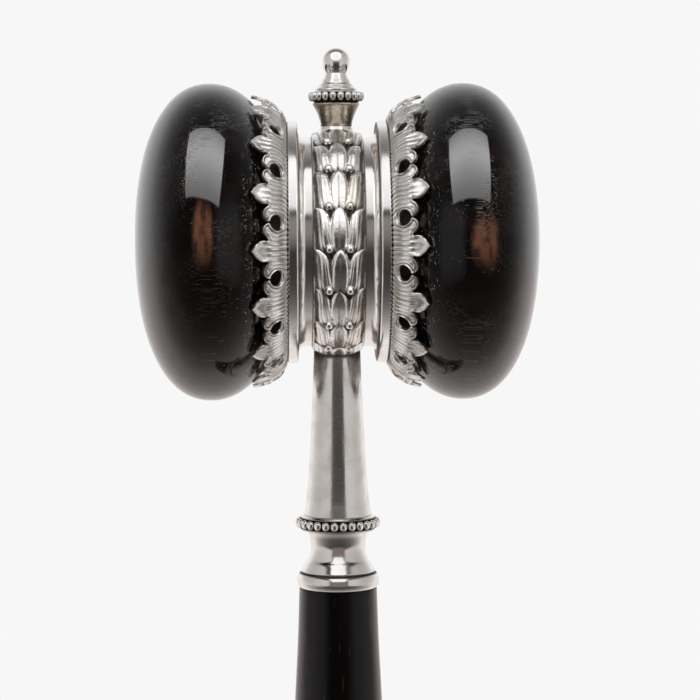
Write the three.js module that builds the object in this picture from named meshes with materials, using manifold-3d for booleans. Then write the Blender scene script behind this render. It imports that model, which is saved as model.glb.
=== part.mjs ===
// Ceremonial gavel: two ebony cheeks on a chased silver mount, over an ebony handle.
// Millimetres, +Z up along the handle, origin in the middle of the butt, +X along the striking axis.
import * as THREE from "three";
import { mergeVertices } from "three/addons/utils/BufferGeometryUtils.js";
import Module from "manifold-3d";

// Fits that the whole object shares
const fit = 0.3; // between a turned piece and what it slides into or sits on
const overrun = 3; // by which a cutter passes what it cuts

// Driving dimensions of the head, measured out from its middle along the striking axis
const headLength = 96.3;
const cheekRadius = 37.85;
const cheekBelt = 29.9; // from the middle of the head to the widest ring of a cheek
const cheekRoundness = 2.28; // exponent of the striking side's curve: 2 is an ellipse, more is squarer
const spigotRadius = 23.2; // of the plug that each cheek has in the barrel
const seatHeight = 1.9; // of the flat-topped seat round the spigot
const seatWidth = 3.2;

// Driving dimensions of the silver mount
const sleeveHalf = 12.1; // half the barrel's length
const sleeveWall = 1.5;
const coveWidth = 1.8;
const coveHeight = 1.2;
const collarWidth = 2.7;
const collarDepth = 3.65;
const coreHalf = 8;

// Driving dimensions of the laurel band
const bandWidth = 12;
const bandEdge = 0.4; // thickness at the band's edges
const bandSwell = 1.2; // by which its middle stands above the edges
const rowsPerSide = 8;
const rowAngle = THREE.MathUtils.degToRad(20.8);
const firstTipAngle = THREE.MathUtils.degToRad(-81.1); // of the top row's tips, down from the horizontal
const laurelLeafHeight = 0.8;
const laurelLeafWidth = 4.6;
const sideLeafWidth = 4;
const sideLeafOffset = 3.6;
const sideLeafSplay = THREE.MathUtils.degToRad(14);
const laurelLengthShare = 0.97; // of a leaf, in the distance between rows
const berryDiameter = 2.1;
const berryOffset = 2.5;

// Driving dimensions of the leaf crowns
const crownLeaves = 16;
const crownThickness = 0.9;
const crownStep = 0.35; // by which the crown's foot stands above the collar
const crownReach = 8.3; // along the striking axis
const crownLift = 0.54; // of the leaf tips above the ebony
const leafSwell = 0.45; // from the hollow between two leaves to a leaf's middle
const crownTurn = {
  left: THREE.MathUtils.degToRad(-2.2), // the crowns aren't clocked quite alike
  right: THREE.MathUtils.degToRad(0.3),
};

// Driving dimensions of the stem and handle, from the butt up
const handleLength = 125; // from the butt to the shoulder under the ferrule
const handleTopRadius = 9.4;
const handleRadius = 13.6; // where the grip is thickest
const buttRadius = 10; // of the flat foot
const tenonRadius = 4.4;
const ferruleBaseHeight = 3.5;
const ferruleBaseRadius = 9.9;
const ferruleRimRadius = 8.95;
const waistHeight = 10.4;
const waistRadius = 6.5;
const waistTopRadius = 7.5;
const lowerRingHeight = 3.7;
const lowerRingRadius = 9.15;
const lowerBeads = 28;
const socketLength = 38.6; // from the bead ring to the laurel band
const socketFootRadius = 8.3;
const socketTopRadius = 5.6;
const socketWall = 1.0;
const socketRoofHeight = 7; // of the solid top of the socket over the tenon
const beadDepth = 1.7; // across a bead
const beadHeight = 2.2;

// Driving dimensions of the finial, from the band up
const footRingHeight = 0.35;
const footRingRadius = 4.05;
const vaseHeight = 5.7;
const vaseFootRadius = 3.75;
const vaseLipRadius = 5.6;
const upperRingHeight = 2.9;
const upperRingRadius = 5.65;
const upperBeads = 20;
const domeHeight = 2.65;
const domeRadius = 5;
const domeNeckRadius = 3.3;
const neckHeight = 2.1;
const neckRadius = 2.6;
const ballRadius = 3.34;
const ballStudRadius = 1.5;
const ballStudLength = 2.6;

// Driving dimensions of the fastenings
const rodRadius = 2;
const rodInHandle = 33; // how far the tie rod runs down below the handle's shoulder
const dowelRadius = 2.5;
const dowelReach = 14; // into a cheek, from the end of its spigot
const dowelStart = 3.2; // from the middle of the head
const bushWall = 0.6;

// Facets round the turned pieces
const headSteps = 32;
const stemSteps = 20;
const finialSteps = 16;
const innerSteps = 10;

// Sizes that follow from the driving dimensions
const boreRadius = spigotRadius + fit;
const sleeveRadius = boreRadius + sleeveWall;
const bandInner = sleeveRadius + fit;
const bandRimRadius = bandInner + bandEdge;
const bandRadius = bandRimRadius + bandSwell;
const collarInner = sleeveRadius + fit;
const collarRadius = collarInner + collarDepth;
const shoulder = sleeveHalf + crownThickness;
const seatRadius = spigotRadius + seatWidth;
const rodHole = rodRadius + fit;
const ferruleBaseTop = handleLength + ferruleBaseHeight;
const waistTop = ferruleBaseTop + waistHeight;
const lowerRingTop = waistTop + lowerRingHeight;
const bandFoot = lowerRingTop + socketLength;
const headHeight = bandFoot + fit + bandRadius;
const bandTop = headHeight + bandRadius + fit;
const vaseFoot = bandTop + footRingHeight;
const vaseTop = vaseFoot + vaseHeight;
const upperRingTop = vaseTop + upperRingHeight;
const domeTop = upperRingTop + domeHeight;
const ballCentre = domeTop + neckHeight + Math.sqrt(ballRadius ** 2 - neckRadius ** 2);

// Materials
const ebony = new THREE.MeshStandardMaterial({ color: 0x17110f, roughness: 0.22, metalness: 0 });
const silver = new THREE.MeshStandardMaterial({ color: 0xcfcac2, roughness: 0.18, metalness: 1 });
const warmSilver = new THREE.MeshStandardMaterial({ color: 0xb3a68f, roughness: 0.3, metalness: 1 });
const hardwood = new THREE.MeshStandardMaterial({ color: 0x8a6240, roughness: 0.7, metalness: 0 });
const steel = new THREE.MeshStandardMaterial({ color: 0x8c8c90, roughness: 0.35, metalness: 1 });
const brass = new THREE.MeshStandardMaterial({ color: 0xb08d46, roughness: 0.35, metalness: 1 });

// Turned shapes: a profile is a list of [radius, height] that runs up the outside
function turned(profile, steps) {
  const points = profile.map(([radius, height]) => new THREE.Vector2(radius, height));
  return new THREE.LatheGeometry(points, steps).rotateX(Math.PI / 2);
}

function turnedRing(profile, steps) {
  return turned([...profile, profile[0]], steps);
}

function arc(centreRadius, centreHeight, radial, axial, from, to, steps) {
  return Array.from({ length: steps + 1 }, (_, i) => {
    const angle = from + ((to - from) * i) / steps;
    return [centreRadius + radial * Math.cos(angle), centreHeight + axial * Math.sin(angle)];
  });
}

function through(stations, steps) {
  const spline = new THREE.SplineCurve(stations.map(([x, y]) => new THREE.Vector2(x, y)));
  return spline.getPoints(steps).map((point) => [point.x, point.y]);
}

// Joining and cutting solids
const wasm = await Module();
wasm.setup();

function solidOf(geometry) {
  const bare = geometry.clone();
  bare.deleteAttribute("normal");
  bare.deleteAttribute("uv");
  const merged = mergeVertices(bare);
  const triVerts = new Uint32Array(merged.index.array);
  const vertProperties = merged.attributes.position.array;
  return new wasm.Manifold(new wasm.Mesh({ numProp: 3, vertProperties, triVerts }));
}

function geometryOf(solid) {
  const mesh = solid.getMesh();
  const geometry = new THREE.BufferGeometry();
  geometry.setAttribute("position", new THREE.BufferAttribute(mesh.vertProperties, 3));
  geometry.setIndex(new THREE.BufferAttribute(mesh.triVerts, 1));
  geometry.computeVertexNormals();
  return geometry;
}

function joined(geometries) {
  return wasm.Manifold.union(geometries.map(solidOf));
}

// Ebony cheek: a bun with a spigot for the barrel and a blind bore for its dowel screw
function cheekGeometry() {
  const seatShare = seatRadius / cheekRadius;
  const innerReach = (cheekBelt - shoulder - seatHeight) / Math.sqrt(1 - seatShare ** 2);
  const outerReach = headLength / 2 - cheekBelt;
  const seatAngle = -Math.acos(seatShare);
  const innerSide = arc(0, cheekBelt, cheekRadius, innerReach, seatAngle, 0, 4);
  const outerSteps = 7;
  const outerSide = Array.from({ length: outerSteps }, (_, i) => {
    const angle = ((i + 1) / outerSteps) * (Math.PI / 2);
    const squareness = 2 / cheekRoundness;
    const radius = i + 1 === outerSteps ? 0 : cheekRadius * Math.cos(angle) ** squareness;
    return [radius, cheekBelt + outerReach * Math.sin(angle) ** squareness];
  });
  const bore = dowelRadius + fit;
  const boreEnd = coreHalf + dowelReach + fit;
  return turned(
    [
      [0, boreEnd],
      [bore, boreEnd],
      [bore, coreHalf],
      [spigotRadius, coreHalf],
      [spigotRadius, shoulder],
      [seatRadius, shoulder],
      ...innerSide,
      ...outerSide,
    ],
    headSteps,
  );
}

// The radius of a cheek's inner side at a distance from the middle of the head
function cheekInnerRadius(distance) {
  const seatShare = seatRadius / cheekRadius;
  const innerReach = (cheekBelt - shoulder - seatHeight) / Math.sqrt(1 - seatShare ** 2);
  return cheekRadius * Math.sqrt(1 - ((cheekBelt - distance) / innerReach) ** 2);
}

// Leaf crown: a fluted silver dish, pierced between its leaves so that each leaf has its lobes
const crownFoot = new THREE.Vector2(collarRadius + crownStep, sleeveHalf);
const crownTip = new THREE.Vector2(
  cheekInnerRadius(sleeveHalf + crownReach) + crownLift + crownThickness,
  sleeveHalf + crownReach,
);
const crownControlShares = new THREE.Vector2(0.88, 0.265); // of the way from foot to tip
const crownCurve = new THREE.QuadraticBezierCurve(
  crownFoot,
  crownTip.clone().sub(crownFoot).multiply(crownControlShares).add(crownFoot),
  crownTip,
);

function crownDish() {
  const rows = 2;
  const face = crownCurve.getPoints(rows);
  const back = face.map((point, i) => {
    const along = crownCurve.getTangent(i / rows);
    return new THREE.Vector2(point.x - along.y * crownThickness, point.y + along.x * crownThickness);
  });
  const profile = [
    [boreRadius, sleeveHalf],
    ...face.map((point) => [point.x, point.y]),
    ...back.reverse().map((point) => [point.x, point.y]),
    [boreRadius, shoulder],
  ];
  const dish = turnedRing(profile, crownLeaves * 2);
  const position = dish.attributes.position;
  const run = crownTip.y - crownFoot.y;
  for (let i = 0; i < position.count; i++) {
    const angle = Math.atan2(position.getY(i), position.getX(i));
    const outShare = THREE.MathUtils.smoothstep(position.getZ(i) - shoulder, 0, run / 2);
    const drop = (leafSwell / 2) * (1 - Math.cos(crownLeaves * angle)) * outShare;
    position.setX(i, position.getX(i) - drop * Math.cos(angle));
    position.setY(i, position.getY(i) - drop * Math.sin(angle));
  }
  return dish;
}

// Outline of the gap between two leaves, from the eye up one side of it to a leaf's tip.
// Each point is a share of the leaf spacing, from the gap's middle, and of the leaf's length.
const eyeCentreShare = 0.33;
const eyeWidthShare = 0.155;
const eyeLengthShare = 0.155;
const slitShare = 0.03;
const sideLobeShares = [
  [0.035, 0.55],
  [0.1, 0.67],
  [0.2, 0.72],
  [0.3, 0.67],
  [0.375, 0.56],
];
const mainLobeShares = [
  [0.33, 0.66],
  [0.33, 0.77],
  [0.39, 0.88],
  [0.51, 1.02],
];

function gapCutter() {
  const slope = crownTip.clone().sub(crownFoot);
  const length = slope.length();
  slope.normalize();
  const onPlane = ([spacingShare, lengthShare]) => {
    const angle = (spacingShare * 2 * Math.PI) / crownLeaves;
    const radius = crownFoot.x + slope.x * lengthShare * length;
    const across = radius * Math.sin(angle);
    const along = lengthShare * length - radius * (1 - Math.cos(angle)) * slope.x;
    return new THREE.Vector2(across, along);
  };
  const slitAngle = Math.asin(slitShare / eyeWidthShare);
  const eye = arc(0, eyeCentreShare, eyeWidthShare, eyeLengthShare, -Math.PI / 2, Math.PI / 2 - slitAngle, 3);
  const half = [...eye, ...through(sideLobeShares, 3), ...through(mainLobeShares, 3)].map(onPlane);
  half.push(new THREE.Vector2(half.at(-1).x, half.at(-1).y + overrun));
  const otherHalf = half.slice(1).map((point) => new THREE.Vector2(-point.x, point.y));
  const outline = new THREE.Shape([...half, ...otherHalf.reverse()]);
  const depth = 2 * overrun;
  const cutter = new THREE.ExtrudeGeometry(outline, { depth, bevelEnabled: false });
  cutter.translate(0, 0, -depth / 2);
  // The outline's plane lies along the dish: across, then up its slope, then out of its face
  const place = new THREE.Matrix4().makeBasis(
    new THREE.Vector3(0, 1, 0),
    new THREE.Vector3(slope.x, 0, slope.y),
    new THREE.Vector3(slope.y, 0, -slope.x),
  );
  place.setPosition(crownFoot.x, 0, crownFoot.y);
  return cutter.applyMatrix4(place);
}

function crownGeometry() {
  const cutter = gapCutter();
  const gaps = Array.from({ length: crownLeaves }, (_, i) =>
    cutter.clone().rotateZ(((i + 0.5) * 2 * Math.PI) / crownLeaves),
  );
  return geometryOf(solidOf(crownDish()).subtract(joined(gaps)));
}

// Collar: a half-round ring against the crown
function collarGeometry() {
  const round = collarWidth / 2;
  const middle = sleeveHalf - round;
  return turnedRing(
    [
      [collarInner, sleeveHalf - collarWidth],
      ...arc(collarRadius - round, middle, round, round, -Math.PI / 2, Math.PI / 2, 4),
      [collarInner, sleeveHalf],
    ],
    headSteps,
  );
}

// A cutter for the tie rod's hole, along X in the head's own frame
function rodCutter(from, to, radius) {
  const length = to - from;
  return new THREE.CylinderGeometry(radius, radius, length, innerSteps)
    .rotateZ(Math.PI / 2)
    .translate((from + to) / 2, 0, 0);
}

// Barrel: a sleeve with a cove up to each collar, bored through for the tie rod
function barrelGeometry() {
  const collarFace = sleeveHalf - collarWidth;
  const coveSteps = 2;
  const cove = Array.from({ length: coveSteps + 1 }, (_, i) => {
    const share = i / coveSteps;
    return [sleeveRadius + coveHeight * share ** 2, collarFace - coveWidth * (1 - share)];
  });
  const sleeve = turnedRing(
    [
      [boreRadius, -sleeveHalf],
      [sleeveRadius, -sleeveHalf],
      [sleeveRadius, -collarFace],
      ...cove.toReversed().map(([radius, height]) => [radius, -height]),
      ...cove,
      [sleeveRadius, collarFace],
      [sleeveRadius, sleeveHalf],
      [boreRadius, sleeveHalf],
    ],
    headSteps,
  );
  const reach = sleeveRadius + overrun;
  return geometryOf(solidOf(sleeve).subtract(solidOf(rodCutter(-reach, reach, rodHole))));
}

// Laurel band: a convex ring with raised leaves and berries that climb both sides to the finial
function bandSurface(distance) {
  return bandRimRadius + bandSwell * (1 - (distance / (bandWidth / 2)) ** 2);
}

// A point on the band's front: across it, at an angle below the horizontal, and above its surface
function onBand(across, angle, height) {
  const radius = bandSurface(across) + height;
  return new THREE.Vector3(radius * Math.sin(angle), -radius * Math.cos(angle), -across);
}

const leafOutlineShares = [
  [0, -0.5],
  [0.5, 0],
  [0, 0.5],
];
const leafSinkShare = 0.3; // how deep a leaf's edges are let into the band, as a share of its height
const leafRootShare = 0.15; // how much deeper its underside goes

function laurelLeaf(tipAngle, offset, splay, width) {
  const length = rowAngle * bandRadius * laurelLengthShare;
  const leaf = turned(leafOutlineShares.map(([out, up]) => [out * width, up * length]), 4);
  const position = leaf.attributes.position;
  for (let i = 0; i < position.count; i++) {
    const across = offset + position.getX(i) * Math.cos(splay) + position.getZ(i) * Math.sin(splay);
    const along = position.getZ(i) * Math.cos(splay) - position.getX(i) * Math.sin(splay);
    const ridge = position.getY(i) / (width / 2);
    const rise = ridge > 0 ? ridge * (1 + leafSinkShare) : ridge * leafRootShare;
    const height = laurelLeafHeight * (rise - leafSinkShare);
    const placed = onBand(across, tipAngle + (length / 2 - along) / bandRadius, height);
    position.setXYZ(i, placed.x, placed.y, placed.z);
  }
  return leaf;
}

function berry(tipAngle, offset) {
  const centre = onBand(offset, tipAngle, berryDiameter / 6);
  return new THREE.IcosahedronGeometry(berryDiameter / 2).translate(centre.x, centre.y, centre.z);
}

function bandGeometry() {
  const half = bandWidth / 2;
  const surfaceSteps = 4;
  const surface = Array.from({ length: surfaceSteps + 1 }, (_, i) => {
    const distance = half * ((2 * i) / surfaceSteps - 1);
    return [bandSurface(distance), distance];
  });
  const ring = turnedRing([[bandInner, -half], ...surface, [bandInner, half]], headSteps);
  const oneSide = [];
  for (let row = 0; row < rowsPerSide; row++) {
    const tipAngle = firstTipAngle + row * rowAngle;
    oneSide.push(laurelLeaf(tipAngle, 0, 0, laurelLeafWidth));
    for (const side of [-1, 1]) {
      oneSide.push(laurelLeaf(tipAngle, side * sideLeafOffset, side * sideLeafSplay, sideLeafWidth));
      oneSide.push(berry(tipAngle, side * berryOffset));
    }
  }
  const otherSide = oneSide.map((piece) => piece.clone().rotateX(Math.PI));
  const above = rodCutter(-bandRadius - overrun, -bandInner, footRingRadius + fit);
  const below = rodCutter(bandInner, bandRadius + overrun, socketTopRadius + fit);
  const foliage = joined([...oneSide, ...otherSide]).subtract(joined([above, below]));
  const reach = bandRadius + overrun;
  const hole = solidOf(rodCutter(-reach, reach, rodHole));
  return geometryOf(foliage.add(solidOf(ring)).subtract(hole));
}

// Core: a hardwood plug in the barrel, bored across for the tie rod and along for the dowel screws
function coreGeometry() {
  const ends = [-coreHalf, coreHalf];
  const plug = turned([[0, ends[0]], ...ends.map((end) => [spigotRadius, end]), [0, ends[1]]], headSteps);
  const bore = dowelRadius + fit;
  const start = dowelStart - fit;
  const end = coreHalf + overrun;
  const bores = [-1, 1].map((side) =>
    new THREE.CylinderGeometry(bore, bore, end - start, innerSteps)
      .rotateX(Math.PI / 2)
      .translate(0, 0, (side * (start + end)) / 2),
  );
  const reach = spigotRadius + overrun;
  return geometryOf(solidOf(plug).subtract(joined([...bores, rodCutter(-reach, reach, rodHole)])));
}

// A rod with bevelled ends
function rodGeometry(radius, from, to) {
  const bevel = radius / 5;
  return turned(
    [
      [0, from],
      [radius - bevel, from],
      [radius, from + bevel],
      [radius, to - bevel],
      [radius - bevel, to],
      [0, to],
    ],
    innerSteps,
  );
}

// The space that the band and barrel take up, with clearance, for what is saddled onto them
function saddleCutter() {
  const half = bandWidth / 2;
  const surfaceSteps = 4;
  const surface = Array.from({ length: surfaceSteps + 1 }, (_, i) => {
    const distance = half * ((2 * i) / surfaceSteps - 1);
    return [bandSurface(distance) + fit, distance];
  });
  const profile = [
    [0, -sleeveHalf],
    [bandInner, -sleeveHalf],
    [bandInner, -half],
    ...surface,
    [bandInner, half],
    [bandInner, sleeveHalf],
    [0, sleeveHalf],
  ];
  const saddleSteps = 32;
  return turned(profile, saddleSteps).rotateY(Math.PI / 2).translate(0, 0, headHeight);
}

// Bead ring: a turned ring with oval beads standing round its edge
function beadRingGeometry(bore, radius, foot, height, beads) {
  const ring = turnedRing(
    [
      [bore, foot],
      [radius - beadDepth / 3, foot],
      [radius, foot + height / 8],
      [radius - beadDepth / 8, foot + height / 4],
      [radius - beadDepth / 8, foot + (height * 3) / 4],
      [radius - beadDepth / 3, foot + height],
      [bore, foot + height],
    ],
    beads,
  );
  const bead = new THREE.IcosahedronGeometry(1).scale(beadDepth / 2, beadDepth / 2, beadHeight / 2);
  bead.translate(radius + beadDepth / 6, 0, foot + height / 2);
  const row = Array.from({ length: beads }, (_, i) => bead.clone().rotateZ((i * 2 * Math.PI) / beads));
  return geometryOf(solidOf(ring).add(joined(row)));
}

// Socket: a trumpet-shaped silver sleeve over the tenon, saddled to the band under the head.
// Each station is a share of the flare and a share of the length, from the foot up.
const trumpetShares = [
  [1, 0],
  [0.89, 0.05],
  [0.72, 0.1],
  [0.57, 0.22],
  [0.43, 0.35],
  [0.33, 0.5],
  [0.15, 0.74],
  [0, 1],
];

function socketGeometry() {
  const flare = socketFootRadius - socketTopRadius;
  const stations = trumpetShares.map(([flareShare, lengthShare]) => [
    socketTopRadius + flare * flareShare,
    lowerRingTop + socketLength * lengthShare,
  ]);
  const outside = through(stations, 8);
  const roof = bandFoot - socketRoofHeight;
  const least = tenonRadius + fit;
  const inside = outside
    .filter(([, height]) => height < roof - fit)
    .map(([radius, height]) => [Math.max(radius - socketWall, least), height]);
  const profile = [
    ...outside,
    [socketTopRadius, bandFoot + overrun],
    [rodHole, bandFoot + overrun],
    [rodHole, roof],
    [least, roof],
    ...inside.toReversed(),
  ];
  return geometryOf(solidOf(turnedRing(profile, stemSteps)).subtract(solidOf(saddleCutter())));
}

// Ferrule: a waisted silver collar and a half-round base ring, seated on the handle's shoulder.
// Each station is a share of the flare from waist to rim and a share of the height, from the foot up.
const waistShares = [
  [1, 0.06],
  [0.57, 0.24],
  [0.22, 0.36],
  [0, 0.58],
  [0.15, 0.85],
];

function waistGeometry() {
  const flare = ferruleRimRadius - waistRadius;
  const stations = waistShares.map(([flareShare, heightShare]) => [
    waistRadius + flare * flareShare,
    ferruleBaseTop + waistHeight * heightShare,
  ]);
  const bore = tenonRadius + fit;
  const profile = [
    [bore, ferruleBaseTop],
    [ferruleRimRadius - fit, ferruleBaseTop],
    ...through([...stations, [waistTopRadius, waistTop]], 7),
    [bore, waistTop],
  ];
  return turnedRing(profile, stemSteps);
}

function ferruleBaseGeometry() {
  const bore = tenonRadius + fit;
  const bulge = ferruleBaseRadius - handleTopRadius + fit;
  const middle = handleLength + ferruleBaseHeight / 2;
  return turnedRing(
    [
      [bore, handleLength],
      ...arc(ferruleBaseRadius - bulge, middle, bulge, ferruleBaseHeight / 2, -Math.PI / 2, Math.PI / 2, 4),
      [bore, ferruleBaseTop],
    ],
    stemSteps,
  );
}

// Handle: a long ebony grip that swells towards its butt, with a tenon up into the socket.
// Each station is a share of the swelling and a share of the length, from the foot up.
const gripShares = [
  [0.67, 0.024],
  [0.905, 0.096],
  [1, 0.22],
  [0.88, 0.4],
  [0.548, 0.6],
  [0.25, 0.8],
  [0.095, 0.904],
  [0, 1],
];

function handleGeometry() {
  const swelling = handleRadius - handleTopRadius;
  const stations = gripShares.map(([swellShare, lengthShare]) => [
    handleTopRadius + swelling * swellShare,
    handleLength * lengthShare,
  ]);
  const tenonTop = bandFoot - socketRoofHeight - fit;
  const boreFoot = handleLength - rodInHandle - fit;
  return turned(
    [
      [0, 0],
      ...through([[buttRadius, 0], ...stations], 12),
      [tenonRadius, handleLength],
      [tenonRadius, tenonTop],
      [rodHole, tenonTop],
      [rodHole, boreFoot],
      [0, boreFoot],
    ],
    stemSteps,
  );
}

// Finial: foot ring, vase, bead ring, dome and ball, stacked on the band over a tapped bush
const bushRadius = rodHole + bushWall;
const bushBore = bushRadius + fit;
const rodTop = vaseTop + upperRingHeight / 2;

function footRingGeometry() {
  const profile = [
    [rodHole, bandTop - overrun],
    [footRingRadius, bandTop - overrun],
    [footRingRadius, vaseFoot - footRingHeight / 2],
    [footRingRadius - footRingHeight / 2, vaseFoot],
    [rodHole, vaseFoot],
  ];
  return geometryOf(solidOf(turnedRing(profile, finialSteps)).subtract(solidOf(saddleCutter())));
}

const vaseShares = [
  [0, 0],
  [0.04, 0.16],
  [0.16, 0.32],
  [0.35, 0.5],
  [0.66, 0.72],
  [0.93, 0.88],
  [1, 0.95],
  [0.88, 1],
];

function vaseGeometry() {
  const flare = vaseLipRadius - vaseFootRadius;
  const stations = vaseShares.map(([flareShare, heightShare]) => [
    vaseFootRadius + flare * flareShare,
    vaseFoot + vaseHeight * heightShare,
  ]);
  return turnedRing([[bushBore, vaseFoot], ...stations, [bushBore, vaseTop]], finialSteps);
}

function bushGeometry() {
  const top = rodTop + fit;
  const profile = [
    [rodHole, vaseFoot],
    [bushRadius, vaseFoot],
    [bushRadius, top],
    [rodHole, top],
  ];
  return turnedRing(profile, innerSteps);
}

const domeShares = [
  [1, 0],
  [1, 0.12],
  [0.85, 0.24],
  [0.5, 0.36],
  [0.44, 0.5],
  [0.14, 0.72],
  [0, 1],
];

function domeGeometry() {
  const flare = domeRadius - domeNeckRadius;
  const stud = ballStudRadius + fit;
  const stations = domeShares.map(([flareShare, heightShare]) => [
    domeNeckRadius + flare * flareShare,
    upperRingTop + domeHeight * heightShare,
  ]);
  return turnedRing([[stud, upperRingTop], ...stations, [stud, domeTop]], finialSteps);
}

function ballGeometry() {
  const neckAngle = -Math.acos(neckRadius / ballRadius);
  const ball = arc(0, ballCentre, ballRadius, ballRadius, neckAngle, Math.PI / 2, 7);
  ball[ball.length - 1][0] = 0;
  return turned(
    [
      [0, domeTop - ballStudLength],
      [ballStudRadius, domeTop - ballStudLength],
      [ballStudRadius, domeTop],
      [domeNeckRadius - fit, domeTop],
      [neckRadius, domeTop + neckHeight / 2],
      ...ball,
    ],
    finialSteps,
  );
}

// Assembly
const gavel = new THREE.Group();

function addPiece(group, name, geometry, material) {
  const mesh = new THREE.Mesh(geometry, material.clone());
  mesh.name = name;
  group.add(mesh);
  return mesh;
}

const middle = new THREE.Group();
middle.position.z = headHeight;
middle.rotation.y = Math.PI / 2;
gavel.add(middle);
addPiece(middle, "barrel_sleeve", barrelGeometry(), silver);
addPiece(middle, "laurel_band", bandGeometry(), silver);
addPiece(middle, "core_block", coreGeometry(), hardwood);

const cheek = cheekGeometry();
const crown = crownGeometry();
const collar = collarGeometry();
const dowelScrew = rodGeometry(dowelRadius, dowelStart, coreHalf + dowelReach);
for (const [side, turn] of [["left", -Math.PI / 2], ["right", Math.PI / 2]]) {
  const half = new THREE.Group();
  half.position.z = headHeight;
  half.rotation.y = turn;
  gavel.add(half);
  addPiece(half, side + "_cheek", cheek, ebony);
  // A leaf's middle faces the front, less the small turn of this crown
  addPiece(half, side + "_leaf_crown", crown, silver).rotation.z = crownTurn[side] - Math.PI / 2;
  addPiece(half, side + "_collar", collar, silver);
  addPiece(half, side + "_dowel_screw", dowelScrew, steel);
}

addPiece(gavel, "handle", handleGeometry(), ebony);
addPiece(gavel, "ferrule_base", ferruleBaseGeometry(), silver);
addPiece(gavel, "ferrule_waist", waistGeometry(), silver);
const tenonBore = tenonRadius + fit;
const lowerRing = [tenonBore, lowerRingRadius, waistTop, lowerRingHeight, lowerBeads];
addPiece(gavel, "socket_bead_ring", beadRingGeometry(...lowerRing), silver);
addPiece(gavel, "socket_cone", socketGeometry(), silver);
addPiece(gavel, "tie_rod", rodGeometry(rodRadius, handleLength - rodInHandle, rodTop), steel);

addPiece(gavel, "finial_foot_ring", footRingGeometry(), silver);
addPiece(gavel, "finial_vase", vaseGeometry(), warmSilver);
addPiece(gavel, "finial_bush", bushGeometry(), brass);
const upperRing = [bushBore, upperRingRadius, vaseTop, upperRingHeight, upperBeads];
addPiece(gavel, "finial_bead_ring", beadRingGeometry(...upperRing), silver);
addPiece(gavel, "finial_dome", domeGeometry(), silver);
addPiece(gavel, "finial_ball", ballGeometry(), silver);

export default gavel;
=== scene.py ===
import math

import bpy
import numpy as np
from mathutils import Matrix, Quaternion, Vector
from mathutils.geometry import delaunay_2d_cdt


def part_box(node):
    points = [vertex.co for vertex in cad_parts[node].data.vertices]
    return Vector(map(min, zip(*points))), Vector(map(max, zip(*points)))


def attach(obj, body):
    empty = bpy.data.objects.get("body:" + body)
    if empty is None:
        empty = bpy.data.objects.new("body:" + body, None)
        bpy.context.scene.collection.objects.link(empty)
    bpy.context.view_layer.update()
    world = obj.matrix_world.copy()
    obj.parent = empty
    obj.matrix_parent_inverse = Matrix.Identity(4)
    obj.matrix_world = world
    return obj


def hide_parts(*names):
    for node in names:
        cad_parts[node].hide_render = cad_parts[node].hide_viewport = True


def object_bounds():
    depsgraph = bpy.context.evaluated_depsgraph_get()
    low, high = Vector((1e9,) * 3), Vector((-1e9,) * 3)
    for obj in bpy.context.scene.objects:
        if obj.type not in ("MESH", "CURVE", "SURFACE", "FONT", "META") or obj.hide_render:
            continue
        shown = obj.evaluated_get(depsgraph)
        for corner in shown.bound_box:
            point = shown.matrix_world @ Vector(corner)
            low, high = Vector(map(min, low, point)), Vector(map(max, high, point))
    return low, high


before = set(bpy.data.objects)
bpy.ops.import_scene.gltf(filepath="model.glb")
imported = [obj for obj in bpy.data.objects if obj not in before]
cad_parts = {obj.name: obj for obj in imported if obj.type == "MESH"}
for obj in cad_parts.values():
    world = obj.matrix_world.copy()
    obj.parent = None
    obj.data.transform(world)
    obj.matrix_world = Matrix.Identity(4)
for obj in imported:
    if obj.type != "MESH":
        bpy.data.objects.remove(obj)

mm = 0.001
scene = bpy.context.scene
scene.view_settings.view_transform = "Standard"
cad_box = [list(corner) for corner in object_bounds()]

# Camera. The gavel is seen almost square on, from a little above the head and a little to its left, through
# a long lens that takes in the head, the stem and the top of the handle. The butt is out of the picture.
photo_width = 700  # pixels
focal_pixels = 2373
camera_place = Vector((-15.9, -569.8, 220.8)) * mm
camera_target = Vector((3.1, 0, 182.4)) * mm
camera_roll = math.radians(-0.22)

camera = bpy.data.objects.new("camera", bpy.data.cameras.new("camera"))
camera.data.lens = camera.data.sensor_width * focal_pixels / photo_width
camera.data.clip_start = 10 * mm
camera.location = camera_place
camera.rotation_mode = "QUATERNION"
level_aim = (camera_target - camera_place).to_track_quat("-Z", "Y")
camera.rotation_quaternion = level_aim @ Quaternion((0, 0, 1), camera_roll)
scene.collection.objects.link(camera)
scene.camera = camera

# Studio. A pale floor runs back into a pale sweep, and the room in front of the gavel is dim. A large soft
# box hangs over each cheek. Pale cards light the silver from both sides, and boards stand by the cheeks.
paper_level = 0.93  # of the floor and the sweep, where 1 is white
room_level = 0.04
sweep_reach = 0.67  # how far a reflection has to point backwards to meet the full white of the sweep
sweep_falloff = 3.3
ceiling_lean = -0.3  # added to that for a reflection that points straight up
floor_lean = 0.5  # and straight down
fill_level = 0.12
floor_radius = 2500 * mm
floor_shadow_end = (150 * mm, 420 * mm)
floor_colour = (0.78, 0.78, 0.78, 1)
floor_tint = (1, 0.93, 0.9, 1)
white = (1, 1, 1, 1)
head_middle = Vector((0, 0, 208.4)) * mm
ferrule_middle = Vector((0, 0, 128)) * mm
cheek_eyes = {"left": Vector((-30, -35, 225)) * mm, "right": Vector((30, -35, 225)) * mm}
box_targets = {"left": Vector((-88, 95, 320)) * mm, "right": Vector((11, 87, 312)) * mm}
overhead_target = Vector((-20, 90, 315)) * mm
table_places = [Vector((side * 330, -130, 402)) * mm for side in (-1, 1)]
lamp_distance = 400 * mm
lamp_white = (1, 1, 1)
card_colour = (1, 0.96, 0.94)
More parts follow.
